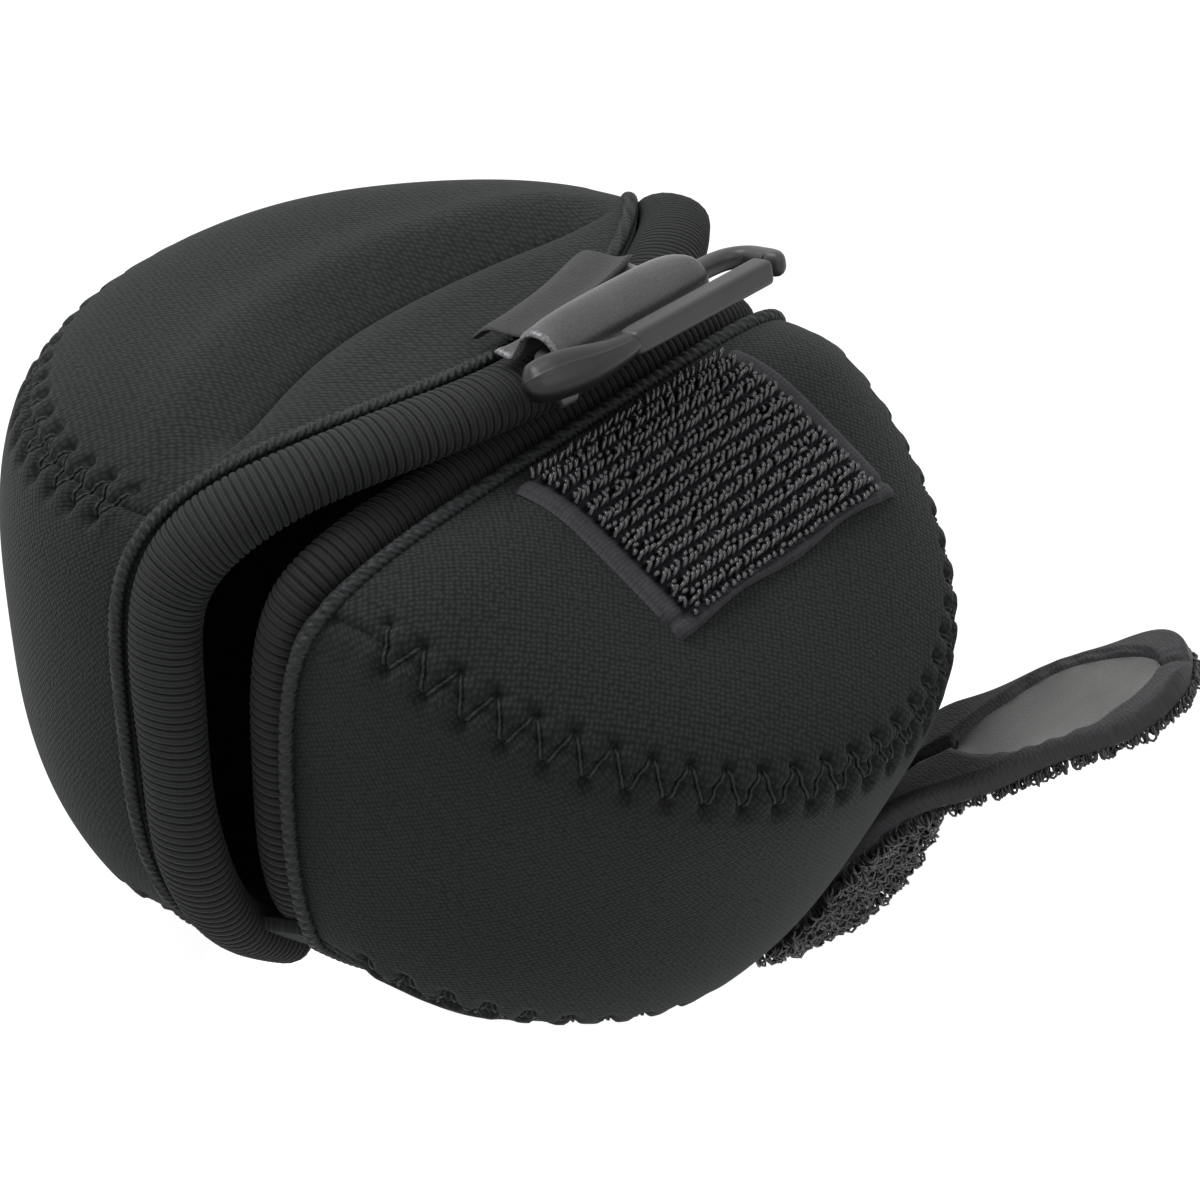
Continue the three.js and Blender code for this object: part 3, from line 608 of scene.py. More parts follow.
def moulded_hooks():
    """Nylon monofilament hooks: smooth, slightly clear and glossy, so each carries a small bright glint."""
    return patterned("nylon_hooks", lambda tree, cloth: noise(tree, cloth, size=1.4, detail=1.0),
                     [(0.3, "1e1e20"), (0.7, "38383c")], roughness=0.26, depth=0.00002, specular=0.7)


def unnapped_loops():
    """Nylon loop pile: curly fine yarns with a silky glint along each curl, dark between them."""
    return patterned("nylon_loop_pile", lambda tree, cloth: noise(tree, cloth, size=0.8),
                     [(0.3, "161618"), (0.7, "3c3c40")], roughness=0.4, depth=0.00004, sheen=(0.3, 0.5, "b0b0b4"))


def fine_leatherette(name, dark, light, frayed_below=None):
    """Polyurethane leatherette: a satin film over cloth with a grain of only a quarter of a millimetre, so it looks
    smooth with a broad soft highlight. Where it is cut on one side, its pale cloth backing shows along the edge."""
    material, tree, cloth = started(name)
    grain = noise(tree, cloth, size=0.24)
    base = ramp(tree, grain, (0.3, dark), (0.7, light))
    base = darkened(tree, base, noise(tree, cloth, size=4.0, detail=3.0), "d8d8d8")
    if frayed_below is not None:
        ragged = noise(tree, cloth, size=0.5, detail=3.0)
        ragged = maths(tree, "MULTIPLY_ADD", ragged, -1.2, component(tree, cloth, "X"))
        edge = maths(tree, "LESS_THAN", ragged, frayed_below)
        base = mixed(tree, edge, base, ramp(tree, grain, (0.3, "3a3a3c"), (0.7, "8c8c90")))
    surfaced(tree, base, roughness=0.36, height=grain, depth=0.00003, coat=(0.12, 0.35))
    return material


def moulded_acetal(name, dark, light):
    """Injection-moulded acetal: satin, with a very fine mould texture and faint flow marks, sized in metres."""
    material, tree, _ = started(name)
    where = add(tree, "ShaderNodeTexCoord").outputs["Object"]
    grit = noise(tree, where, size=0.00035)
    base = ramp(tree, noise(tree, where, size=0.006), (0.3, dark), (0.7, light))
    surfaced(tree, base, maths(tree, "MULTIPLY_ADD", grit, 0.12, 0.36), grit, depth=0.00001, specular=0.42)
    return material


neoprene = jersey_faced_neoprene()
rear_knit = ribbed_elastic_knit("rear_ribbed_elastic", "0e0f10", "2b2d2e", REAR.rib)
front_knit = ribbed_elastic_knit("front_ribbed_elastic", "0b0c0d", "242527", FRONT.rib)
overlock = bulked_polyester_thread("overlock_thread", "08090a", "1f2123")
stitching = bulked_polyester_thread("zigzag_thread", "0c0e10", "1f2224")
hook_base = hook_tape_weave()
hook_nylon = moulded_hooks()
band_face = woven_nylon("woven_strap_face", "161618", "303034", pitch=0.37)
loop_pile = unnapped_loops()
tab_leather = fine_leatherette("tab_leatherette", "3e3e3e", "525251", CLIP_CENTRE[0] + TAB_LEFT - TAB_FLAP)
grip_leather = fine_leatherette("grip_leatherette", "454544", "5a5a58")
anchor_weave = woven_nylon("woven_anchor_tape", "141516", "2c2d2e", pitch=0.33)
acetal = moulded_acetal("moulded_acetal", "363637", "414143")
# The head is the same acetal as the body, painted darker: painted shade for the way the head lies to the light.
head_acetal_painted_shade = moulded_acetal("moulded_acetal_head_painted_shade", "161617", "1e1e1f")


# Zigzag seams: corners at even steps of station, above and below the seam in turn
def stitch_plan(lobe, seam):
    """The seam's length, the share kept clear at each end, and the number of half stitches."""
    line = lobe_point(lobe, np.linspace(0, 1, 241), np.full(241, float(seam)))
    length = np.linalg.norm(np.diff(line, axis=0), axis=1).sum()
    clear = (RIDGE_RADIUS + LIP_ALLOWANCE + STITCH_PITCH) / length
    return length, clear, 2 * round(length * (1 - 2 * clear) / STITCH_PITCH)


def pucker(lobe, seam, station, height):
    """How far the cloth sinks beside a zigzag seam, from the station and the height above the seam in millimetres:
    bells over a turned-in edge, each needle hole and the thread, less one over the swelling between them."""
    length, clear, halves = stitch_plan(lobe, seam)
    phase = (station - clear) / (1 - 2 * clear) * halves
    half_pitch = length * (1 - 2 * clear) / halves
    inside = smoothstep(-0.6, 0.2, phase) * smoothstep(-0.6, 0.2, halves - phase)
    zig = 2 * np.abs((phase % 2) - 1) - 1
    reach = STITCH_WIDTH / 2
    slope = 2 * reach / half_pitch
    apart = np.abs(height - reach * zig) / math.hypot(1, slope)
    groove = bell(apart, GROOVE_WIDTH) * smoothstep(reach + 0.4, reach - 0.2, np.abs(height))
    holes = 0.0
    for parity, sign in ((0, 1), (1, -1)):
        away = (phase - parity + 1) % 2 - 1
        holes = holes + bell(np.hypot(away * half_pitch, height - sign * reach), HOLE_WIDTH)
    swollen = SWELLING * bell(height, SWELLING_WIDTH) * (1 - groove) * (1 - holes)
    return EDGE_DEPTH * bell(height, EDGE_WIDTH) + inside * (GROOVE_DEPTH * groove + HOLE_DEPTH * holes - swollen)


def level_scale(lobe, station, level):
    """Millimetres to one level at a seam, above it and below it."""
    step = 1e-3
    here = lobe_point(lobe, station, level)
    above = np.linalg.norm(lobe_point(lobe, station, level + step) - here, axis=-1) / step
    below = np.linalg.norm(lobe_point(lobe, station, level - step) - here, axis=-1) / step
    return above, below


def sag(points):
    """Slow waves over the cloth: a few crossed sines of the place, so that the drum isn't perfect."""
    x, y, z = (points[..., k] / WAVE_SIZE for k in range(3))
    return WAVE_REACH * (np.sin(1.7 * x + 0.9 * y + 0.4) * np.sin(1.3 * z - 0.8 * y + 1.1)
                         + 0.5 * np.sin(2.9 * y + 1.1 * z) * np.sin(2.3 * x + 0.7))


def top_levels(lobe, rows, cols):
    """Levels over a top panel, closer together at its seam and, on the rear one, along the crease: each row's share
    of columns is the running sum of a density that is raised by a bell at either."""
    station = np.linspace(0, 1, rows)[:, None]
    share = np.linspace(1, 5e-4, 700)[None]
    x, y = crown_own(lobe, station, 3 - share)
    away = np.abs(crease_place(x, y)[0])
    density = 1 + 1.2 * bell(share - 1, 0.15) + (7 * bell(away, 1.3) if lobe is REAR else 0)
    run = np.cumsum(density, 1)
    run = (run - run[:, :1]) / (run[:, -1:] - run[:, :1])
    wanted = np.linspace(0, 1, cols)
    return np.stack([3 - np.interp(wanted, row, share[0]) for row in run])


def panel(lobe, name, low, high, rows, cols, body):
    """A sewn panel of neoprene between two levels: outer face sunk along its seams, inner face a wall behind."""
    on_top = high >= 3
    station = np.linspace(0, 1, rows)[:, None] * np.ones((1, cols))
    levels = top_levels(lobe, rows, cols) if on_top else np.linspace(low, high, cols) * np.ones((rows, 1))
    outer = lobe_point(lobe, station, levels)
    inner = lobe_point(lobe, station, levels, WALL)
    if on_top:
        x, y = crown_own(lobe, station, levels)
        out = crown_out(lobe, x, y)
        uv = beside(x, y)
    else:
        out = outward(lobe, station, np.clip(levels, 2e-3, None))
        run = arc_lengths(outer)
        uv = outer[..., :2] if low < 1 else beside(run - run[rows // 2], arc_lengths(outer, 1))
    sink = -sag(outer)
    for seam in (1, 2):
        if low <= seam <= high:
            above, below = level_scale(lobe, station, np.full(station.shape, float(seam)))
            height = np.where(levels >= seam, (levels - seam) * above, (levels - seam) * below)
            sink = sink + pucker(lobe, seam, station, height)
    if lobe is REAR and on_top:
        away, strength = crease_place(x, y)
        behind, before = np.maximum(away, 0), np.maximum(-away, 0)
        fold = np.exp(-np.abs(away) / SLIT) + np.exp(-behind / SHOULDER_BACK - before / SHOULDER_FRONT)
        padding = sum(height * bell(away - middle, width) for height, middle, width in PADDING)
        sink = sink + strength * (fold - padding)
    outer = outer - out * sink[..., None]
    outer[..., 2] = np.maximum(outer[..., 2], 0.0)
    new_piece(name, *slab(outer, inner, uv), neoprene, body, "neoprene", [name])


def lip_path(lobe, back, count):
    """Points along the cut edge from its lower left end over the top to its lower right end, at equal lengths and
    softened, with the direction out of the cloth and how far the lip stands upright."""
    first = float(lobe_point(lobe, 0.0, 1.0)[2])
    low = (LIP_END_HEIGHT / first) ** (1 / END_TURN) if first > LIP_END_HEIGHT else 1.0
    rise = np.concatenate([np.linspace(low, 1, 12)[:-1] if low < 1 else [], np.linspace(1, 2, 50)[:-1],
                           2 + (np.linspace(0, 1, 60)) ** 1.2])
    station = np.concatenate([np.zeros(len(rise)), np.ones(len(rise) - 1)])
    levels = np.concatenate([rise, rise[::-1][1:]])
    points = lobe_point(lobe, station, levels, 0.0, back)
    out = outward(lobe, station, np.minimum(levels, 3 - 2e-3))
    upright = np.clip(2 - levels, 0, 1)[:, None]
    points, out, upright, _ = evenly(points, out, upright, count=400)
    points, out, upright = softened(points, 5.0), unit(softened(out, 9.0)), softened(upright, 7.0)
    points, out, upright, lengths = evenly(points, out, upright, count=count)
    return points, unit(out), upright[:, 0], lengths


def lip_frames(lobe, back, shift, lift, count):
    """Frames beside the cut edge: across points into the mouth, up off the cloth, both square to the edge."""
    points, out, upright, lengths = lip_path(lobe, back, count)
    along = direction(points)
    lean = lobe.lean * (1 - upright)
    towards = beside(0.0, -lobe.side * np.cos(lean), np.sin(lean))
    towards = turned(towards, np.array([0, 0, 1.0]), lobe.yaw)
    if back > 0:
        towards = towards - out * dot(towards, out)
    across = unit(towards - along * dot(towards, along))
    up = np.cross(across, along)
    up = up * np.sign(dot(up, out))
    return points + across * shift + up * lift, across, up, lengths


def superellipse(turn, power):
    """The radius share of a rounded square: the inverse root of the sum of the cosine's and the sine's powers."""
    return (np.abs(np.cos(turn)) ** power + np.abs(np.sin(turn)) ** power) ** (-1 / power)


def binding(lobe, name, material, body):
    """A soft roll of ribbed elastic round the lip: a rounded square section that breathes slightly along it. The
    ribs are a root of a cosine's size, so each rib is round and each groove sharp."""
    spare = ROLL_SPARE + lobe.slim
    half_width, half_height = lobe.roll_half_width + ROLL_TUCK - spare, lobe.roll_half_height + 0.1
    points, across, up, lengths = lip_frames(lobe, 0.0, ROLL_GAP + lobe.roll_half_width - ROLL_TUCK - spare,
                                             -lobe.roll_inset, 2300)
    wobble = 1 + 0.03 * np.sin(lengths / 7.3) + 0.02 * np.sin(lengths / 3.1 + 1.0)
    ribs = RIB_DEPTH * (np.abs(np.cos(math.pi * lengths / lobe.rib)) ** RIB_POWER - 1)
    ends = np.minimum(smoothstep(-0.2, 2.0, lengths), smoothstep(-0.2, 2.0, lengths[-1] - lengths)) ** 0.5

    def section(turn):
        return superellipse(turn, ROLL_POWER)[None] * ((wobble + ribs / half_height) * ends)[:, None]

    parts = tube(points, across * half_width, up * half_height, 24, section, perimeter=20.0, lengths=lengths)
    new_piece(name, *parts, material, body, "rib_knit", [name])


def lip_seam(lobe, name, body):
    """The overlocked ridge: a cord whose radius rises and falls on two crossing slants, like plaited thread."""
    points, across, up, lengths = lip_frames(lobe, LIP_ALLOWANCE, 0.25, 0.3, 2400)
    radius, pitch = RIDGE_RADIUS - 0.2, 1.2 * lobe.rib

    def section(turn):
        slant = 2 * math.pi * lengths[:, None] / pitch
        return 1 + 0.24 * np.maximum(np.cos(slant + turn), np.cos(slant - turn + math.pi))

    parts = tube(points, across * radius, up * radius * 0.85, 14, section, perimeter=4.0, lengths=lengths)
    new_piece(name, *parts, overlock, body, "rib_knit", [name])


def zigzag(lobe, seam, name, body):
    """A thread that dives into a needle hole at each corner and bows up off the cloth between them."""
    _, clear, halves = stitch_plan(lobe, seam)
    per = 9
    t = np.arange(halves * per + 1) / per
    corner = t.astype(int)
    f = t - corner
    station = clear + (1 - 2 * clear) * t / halves
    above, below = level_scale(lobe, station, np.full(len(t), float(seam)))
    sign = np.where(corner % 2 == 0, 1.0, -1.0)
    height = sign * (1 - 2 * f) * STITCH_WIDTH / 2
    level = seam + np.where(height > 0, height / above, height / below)
    out = outward(lobe, station, level)
    sink = pucker(lobe, seam, station, height)
    surface = lobe_point(lobe, station, level)
    surface = surface + out * (sag(surface) - sink)[:, None]
    bow = 0.08 + 0.2 * (1 - np.abs(2 * f - 1) ** 3) - 0.5 * bell(np.minimum(f, 1 - f), 0.10)
    points = surface + out * bow[:, None]
    points[:, 2] = np.maximum(points[:, 2], 0.3)
    along = direction(points)
    across = unit(np.cross(out, along))
    up = np.cross(along, across)
    parts = tube(points, across * THREAD_RADIUS, up * THREAD_RADIUS, 8, perimeter=1.3)
    new_piece(name, *parts, stitching, body, "thread", [name])


for lobe, name, knit in ((REAR, "rear", rear_knit), (FRONT, "front", front_knit)):
    half = f"{name}_half"
    panel(lobe, f"{name}_base_panel", 0.0, 1.0, 200, 60, half)
    panel(lobe, f"{name}_side_panel", 1.0, 2.0, 330, 90, half)
    panel(lobe, f"{name}_top_panel", 2.0, 3.0, 330, 90, half)
    binding(lobe, f"{name}_lip_binding", knit, half)
    lip_seam(lobe, f"{name}_lip_seam", half)
    zigzag(lobe, 2, f"{name}_top_stitching", half)
    zigzag(lobe, 1, f"{name}_base_stitching", half)


GUSSET_THICKNESS, BEND_REAR, BEND_FRONT = 1.5, 4.0, -3.0


def bent(name, under, thickness):
    """A sheet of neoprene over a grid of points at the fold, riding on no body."""
    parts = slab(under, under + np.array([0, 0, thickness]), under[..., :2])
    piece = new_piece(name, *parts, neoprene, None, "neoprene")
    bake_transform(piece)


def gusset(name, station):
    """The base's neoprene beside the fold, at the mouth's left or right end: straight from the rear panel's edge to
    the front panel's."""
    across = np.linspace(0, 1, 30)[None, :, None]
    rear, front = (lobe_point(lobe, station, np.linspace(0, 1, 50))[:, None] for lobe in (REAR, FRONT))
    bent(name, rear * (1 - across) + front * across + np.array([0, 0, 0.1]), GUSSET_THICKNESS)


def fold_core():
    """The base's neoprene across the fold itself, inside the two panels' thickness until the mouth opens."""
    half = FOLD_HALF_WIDTH + 1.5
    x, y = np.meshgrid(np.linspace(-half, half, 40), FOLD_Y + np.linspace(-3, 3, 24), indexing="ij")
    bent("fold_core", beside(x, y, 0.35), WALL - 0.7)


fold_core()
gusset("fold_gusset_left", 0.0)
gusset("fold_gusset_right", 1.0)


# Hook tape on the front lobe's top
def hook_surface(x, y, height):
    """A point over the front lobe's top at a height off the cloth, with small ripples of the tape."""
    out = crown_out(FRONT, x, y)
    ripple = 0.12 * np.sin(x / 3.1 + 0.5) * np.sin(y / 4.2)
    return crown_point(FRONT, x, y) + out * (height + ripple)[..., None], out


def hook_tape():
    """Woven tape with rolled edges, sunk along the stitches of its selvedges and between its rows of hooks."""
    rows, cols = 90, 180
    a, b = np.linspace(-1, 1, rows)[:, None], np.linspace(-1, 1, cols)[None, :]
    x, y = np.broadcast_arrays(HOOK_OFFSET + 0.5 * HOOK_WIDTH * a, HOOK_FROM_LIP + 0.5 * HOOK_LENGTH * (b + 1))
    y = y + 0.25 * np.sin(x / 2.6) * np.abs(b) ** 3
    rolled = flat_topped(a, 60) * flat_topped(b, 46)
    from_side = 0.5 * HOOK_WIDTH * (1 - np.abs(a))
    quilt = 0.3 * bell(from_side - SELVEDGE, 0.4) + 0.35 * bell(0.5 * HOOK_LENGTH * (1 - b) - HOOK_HEM, 0.35)
    inside = smoothstep(SELVEDGE, SELVEDGE + 0.6, from_side)
    quilt = quilt + 0.3 * inside * (1 - np.abs(np.cos(math.pi * (y - HOOK_FROM_LIP - FIRST_ROW) / HOOK_ROW_PITCH)))
    top, _ = hook_surface(x, y, 0.05 + 0.85 * rolled - quilt)
    under, _ = hook_surface(x, y, 0.05 - 0.1 * rolled)
    base = slab(top, under, beside(x, y))
    new_piece("hook_patch_tape", *base, hook_base, "front_half", "hook_tape", ["hook_patch"])


def hooks():
    """Rows of small hooks, two to a row of the tape, that rise and bend over in turn to either side."""
    inner_x = 0.5 * HOOK_WIDTH - SELVEDGE - 0.3
    row_at = np.arange(FIRST_ROW, HOOK_LENGTH - HOOK_HEM, HOOK_ROW_PITCH)
    row_at = np.concatenate([row_at - HALF_ROW_APART, row_at + HALF_ROW_APART])
    hook_at = np.arange(-inner_x, inner_x, HOOK_PITCH)
    hx, hy = (v.ravel() for v in np.meshgrid(HOOK_OFFSET + hook_at, HOOK_FROM_LIP + row_at, indexing="ij"))
    count = len(hx)
    second = np.arange(count) % len(row_at) >= len(row_at) // 2
    hx = hx + RNG.normal(0, 0.08, count) + np.where(second, HOOK_PITCH / 2, 0)
    hy = hy + RNG.normal(0, 0.06, count)
    foot, out = hook_surface(hx, hy, np.full(count, 0.75))
    east = unit(crown_point(FRONT, hx + 0.2, hy) - crown_point(FRONT, hx - 0.2, hy))
    heading = np.where(second, 1.2, 0.2) * math.pi + RNG.normal(0, 0.3, count)
    lean = east * np.cos(heading)[:, None] + np.cross(out, east) * np.sin(heading)[:, None]
    tall = RNG.uniform(0.8, 1.05, count)[:, None]
    t = np.linspace(0, 1, 8)
    run = HOOK_RUN * (1 - np.cos(1.25 * math.pi * t))
    curl = HOOK_CURL * np.sin((t - HOOK_BEND_AT) / (1 - HOOK_BEND_AT) * 1.35 * math.pi)
    high = HOOK_STEM * np.minimum(1, t / HOOK_BEND_AT) + np.where(t < HOOK_BEND_AT, 0, curl)
    path = (foot[:, None] + out[:, None] * (high * tall)[..., None] + lean[:, None] * (run * tall)[..., None])
    side = np.broadcast_to(unit(np.cross(lean, out))[:, None], path.shape)
    rise = np.cross(direction(path, 1), side)
    radius = (HOOK_RADIUS * (1 - 0.3 * t))[None, :, None, None]
    parts = yarns(path, side, rise, radius, 5, 0.2, beside(hx, hy), caps=1)
    new_piece("hook_patch_hooks", *parts, hook_nylon, "front_half", "hook_tape")


hook_tape()
hooks()


# Strap
STRAP_ROWS = 190
STRAP_WIDTH, STRAP_BAND, STRAP_PILE, STRAP_LIFT, STRAP_TIP = 15.5, 1.3, 1.8, 1.6, 7.0
STRAP_STATION, STRAP_HUG = 0.615, 0.32
STRAP_BEND, STRAP_FREE, STRAP_RISE, STRAP_TWIST = 9.0, 25.0, math.radians(31), math.radians(-32)
TWIST_FROM, TWIST_TO = 10, 28
GRIP_LENGTH, GRIP_WIDTH, GRIP_LAP = 20.0, 11.0, 0.25
LOOPS, LOOP_RADIUS, LOOP_WIDTH, LOOP_DRIFT = 2300, 0.14, 0.62, 0.7


def strap_line(count):
    """The strap's middle line: up the lobe from its base seam, then bent out to its free length, at equal steps.
    Returns points, the direction along, the direction across and the arc lengths."""
    level = 1 + STRAP_HUG * np.arange(5) / 4
    facing = outward(FRONT, np.array(STRAP_STATION), np.array(1 + STRAP_HUG / 2))
    ahead = unit(facing * np.array([1, 1, 0]))
    on = lobe_point(FRONT, np.full(5, STRAP_STATION), level)
    on = on + outward(FRONT, np.full(5, STRAP_STATION), level) * STRAP_LIFT
    start = on[0]
    route = beside((on - start) @ ahead, on[:, 2] - start[2])
    leaving = math.atan2(*(route[-1] - route[-2])[::-1])
    i = np.arange(1, 12)
    angle = leaving + (STRAP_RISE - leaving) * np.minimum(1, (i - 0.5) / 5)
    step = np.where(i <= 5, STRAP_BEND / 5, STRAP_FREE / 6)
    free = route[-1] + np.cumsum(beside(step * np.cos(angle), step * np.sin(angle)), 0)
    route = through(np.concatenate([route, free]), np.linspace(0, 1, 300))
    route, lengths = evenly(route, count=count)
    points = start + route[:, :1] * ahead + route[:, 1:] * np.array([0, 0, 1.0])
    across = np.cross(ahead, np.array([0, 0, 1.0]))
    along = direction(points)
    return points, along, np.broadcast_to(across, points.shape), lengths


def strap_frame(rows):
    """The strap's line with the twist near its root that turns its pile aside: points, the direction across, the
    direction out of the pile and the arc lengths."""
    points, along, across, lengths = strap_line(rows)
    fade = 1 - smoothstep(TWIST_FROM, TWIST_TO, lengths)
    points = points + (0.6 * across + 1.1 * np.cross(along, across)) * fade[:, None]
    across = unit(turned(across, along, STRAP_TWIST * fade))
    along = direction(points)
    across = unit(across - along * dot(across, along))
    return points, across, np.cross(along, across), lengths


def strap_half_width(lengths, total):
    """Half the width along the strap: full, then a round tip."""
    rounded = np.clip(STRAP_TIP - (total - lengths), 0, STRAP_TIP)
    half = STRAP_WIDTH / 2 - STRAP_TIP + np.sqrt(np.maximum(STRAP_TIP ** 2 - rounded ** 2, 0))
    return np.maximum(half, 0.35)


def leaf_half_width(lengths, total):
    """Half the width of the leaf-shaped patch along the strap: a sine over its length, sharper at its near end."""
    share = np.clip((lengths - total + GRIP_LENGTH + 4.4) / (GRIP_LENGTH + 1.6), 0, 1)
    return 1.04 * GRIP_WIDTH / 2 * np.sin(math.pi * share ** 1.12) ** 0.62


def pick_rows(row, *arrays):
    """Rows of arrays at broken row numbers."""
    return [np.stack([np.interp(row, np.arange(len(values)), column) for column in values.T], -1)
            for values in arrays]


def strap_band(points, across, out, lengths):
    """The band, puffed and wrinkled round the leaf-shaped place of its patch on the upper side."""
    total = lengths[-1]
    side = np.sin(np.linspace(-0.5, 0.5, 90) * math.pi)[None]
    half = strap_half_width(lengths, total)[:, None]
    middle = points[:, None] + across[:, None] * (side * half)[..., None]
    from_edge = np.minimum((1 - np.abs(side)) * half, (total - lengths)[:, None] * np.ones_like(side))
    from_leaf = np.abs(side * half) - leaf_half_width(lengths, total)[:, None]
    rolled = quarter_round(from_edge, 1.1)
    wave = 0.25 * np.sin(lengths / 2.2)[:, None] * side ** 2
    puffed = 0.1 + 1.1 * smoothstep(-0.1, 1.0, from_leaf) - 0.3 * bell(from_leaf - 0.95, 0.25)
    wrinkles = 0.12 * np.sin(lengths / 0.55 + 2 * np.sin(lengths / 3))[:, None] * bell(from_leaf - 0.6, 0.7)
    upper = -(0.1 + (puffed + wrinkles) * rolled) + wave
    lower = 0.55 + (STRAP_BAND - 0.55) * rolled + wave
    uv = beside(lengths[:, None], side * half)
    parts = slab(middle + out[:, None] * upper[..., None], middle + out[:, None] * lower[..., None], uv)
    new_piece("strap_band", *parts, band_face, "strap", "neoprene", ["strap_band", "strap_loop_tape"])


def grip_patch(points, across, out, lengths):
    """The leatherette patch, a leaf that lies in the band's hollow and curves up a little at its edges."""
    total = lengths[-1]
    a = np.linspace(0, 1, 90)[:, None]
    b = np.sin(np.linspace(-0.5, 0.5, 40) * math.pi)[None]
    along_at = total - GRIP_LENGTH - 4.2 + (GRIP_LENGTH + 1.4) * a
    leaf = leaf_half_width(along_at, total) + GRIP_LAP
    centre, sideways, outs = pick_rows(along_at[:, 0] / total * (STRAP_ROWS - 1), points, across, out)
    middle = centre[:, None] + sideways[:, None] * (leaf * b)[..., None]
    lift = 0.12 + 0.5 * (0.7 + 0.3 * b ** 2) + 0.25 * np.sin(along_at / 2.2) * -(leaf * b / 7.75) ** 2
    uv = beside(along_at, leaf * b)
    parts = slab(middle - outs[:, None] * lift[..., None], middle + 0.1 * outs[:, None], uv)
    new_piece("strap_grip_patch", *parts, grip_leather, "strap", "leatherette", ["strap_grip_patch"])


def strap_loops(points, across, out, lengths):
    """The pile below: curls of yarn that rise and close again, splayed at the sides, and longer near the root."""
    row = RNG.uniform(0, STRAP_ROWS - 1, LOOPS)
    lateral = RNG.uniform(-1, 1, LOOPS)
    lateral = np.sign(lateral) * np.abs(lateral) ** 0.8
    half = strap_half_width(lengths, lengths[-1])[:, None]
    centre, sideways, outs, half = pick_rows(row, points, across, out, half)
    foot = centre + sideways * (lateral * (half[:, 0] - 0.3))[:, None] + outs * (STRAP_BAND - 0.15)
    forward = np.cross(sideways, outs)
    heading = RNG.uniform(0, 2 * math.pi, LOOPS)
    lean = forward * np.cos(heading)[:, None] + sideways * np.sin(heading)[:, None]
    splay = 0.9 * np.sign(lateral) * np.abs(lateral) ** 5
    grow = unit(outs + sideways * splay[:, None] + lean * RNG.normal(0, 0.35, LOOPS)[:, None])
    lean = unit(lean - grow * dot(lean, grow))
    flat = np.cross(grow, lean)
    root = 1 - smoothstep(0.3, 0.55, row / STRAP_ROWS)
    size = (RNG.uniform(0.6, 1.0, LOOPS) * (0.72 + 0.4 * root))[:, None, None]
    t = np.linspace(0, 1, 9)[:, None]
    curl = 2 * math.pi * t
    path = (foot[:, None] + grow[:, None] * ((1 - np.cos(curl)) * 0.5 * STRAP_PILE * size)
            + lean[:, None] * (np.sin(curl) * LOOP_WIDTH * size) + flat[:, None] * ((t - 0.5) * LOOP_DRIFT * size))
    along = direction(path, 1)
    first = unit(np.cross(along, flat[:, None] + 0.3 * grow[:, None]))
    points, faces, uvs = yarns(path, first, np.cross(along, first), LOOP_RADIUS, 4, 0.3,
                               RNG.uniform(0, 60, (LOOPS, 2)))
    points[:, 2] = np.maximum(points[:, 2], 0.15 + 0.1 * points[:, 2] / STRAP_PILE)
    new_piece("strap_loops", points, faces, uvs, loop_pile, "strap", "loop_tape")


strap_line_frame = strap_frame(STRAP_ROWS)
strap_band(*strap_line_frame)
grip_patch(*strap_line_frame)
strap_loops(*strap_line_frame)


# Clip and its tab
CLIP_YAW, CLIP_TILT, CLIP_PITCH = math.radians(-3), math.radians(-0.6), math.radians(12)
CLIP_SPREAD, CLIP_NOSE_END, CLIP_BAR, CLIP_NOSE = 5.4, 14.4, 1.0, 1.3
GATE_RADIUS, GATE_HINGE, GATE_TIP = 1.2, 7.6, 11.4
AXIS = np.array([math.cos(CLIP_YAW) * math.cos(CLIP_TILT), math.sin(CLIP_YAW) * math.cos(CLIP_TILT),
                 math.sin(CLIP_TILT)])
GATEWARD = turned(np.array([math.sin(CLIP_YAW), -math.cos(CLIP_YAW), 0.0]), AXIS, -CLIP_PITCH)
FACE = np.cross(GATEWARD, AXIS)


def on_clip(u, w):
    """A point on the clip's plane, u along its axis and w from its far bar to its gate."""
    return CLIP_CENTRE + np.asarray(u)[..., None] * AXIS + np.asarray(w)[..., None] * GATEWARD


def clip_bar(stops, rows, sides, power, flat, parting=0.0):
    """A bar through stops of along, across and radius: a rounded-square section of the given power, flattened by a
    share off the clip's face, with a raised parting line on its outer upper corner."""
    stops = np.asarray(stops, float)
    share = np.linspace(0, 1, rows)
    path = through(on_clip(stops[:, 0], stops[:, 1]), share)
    radius = np.interp(share, np.linspace(0, 1, len(stops)), stops[:, 2])
    radius = softened(radius[:, None], rows / len(stops) / 3)[:, 0]
    path, radii, lengths = evenly(path, radius[:, None], count=rows)
    dome = np.minimum(lengths, lengths[-1] - lengths)
    radius = radii[:, 0] * quarter_round(dome, 0.6 * radii[:, 0], 0.02)
    along = direction(path)
    across = unit(np.cross(along, FACE))

    def section(turn):
        return (superellipse(turn, power) + parting * bell(turn - 0.75, 0.07))[None] * np.ones((rows, 1))

    return tube(path, across * radius[:, None], FACE * radius[:, None] * flat, sides, section, lengths=lengths)


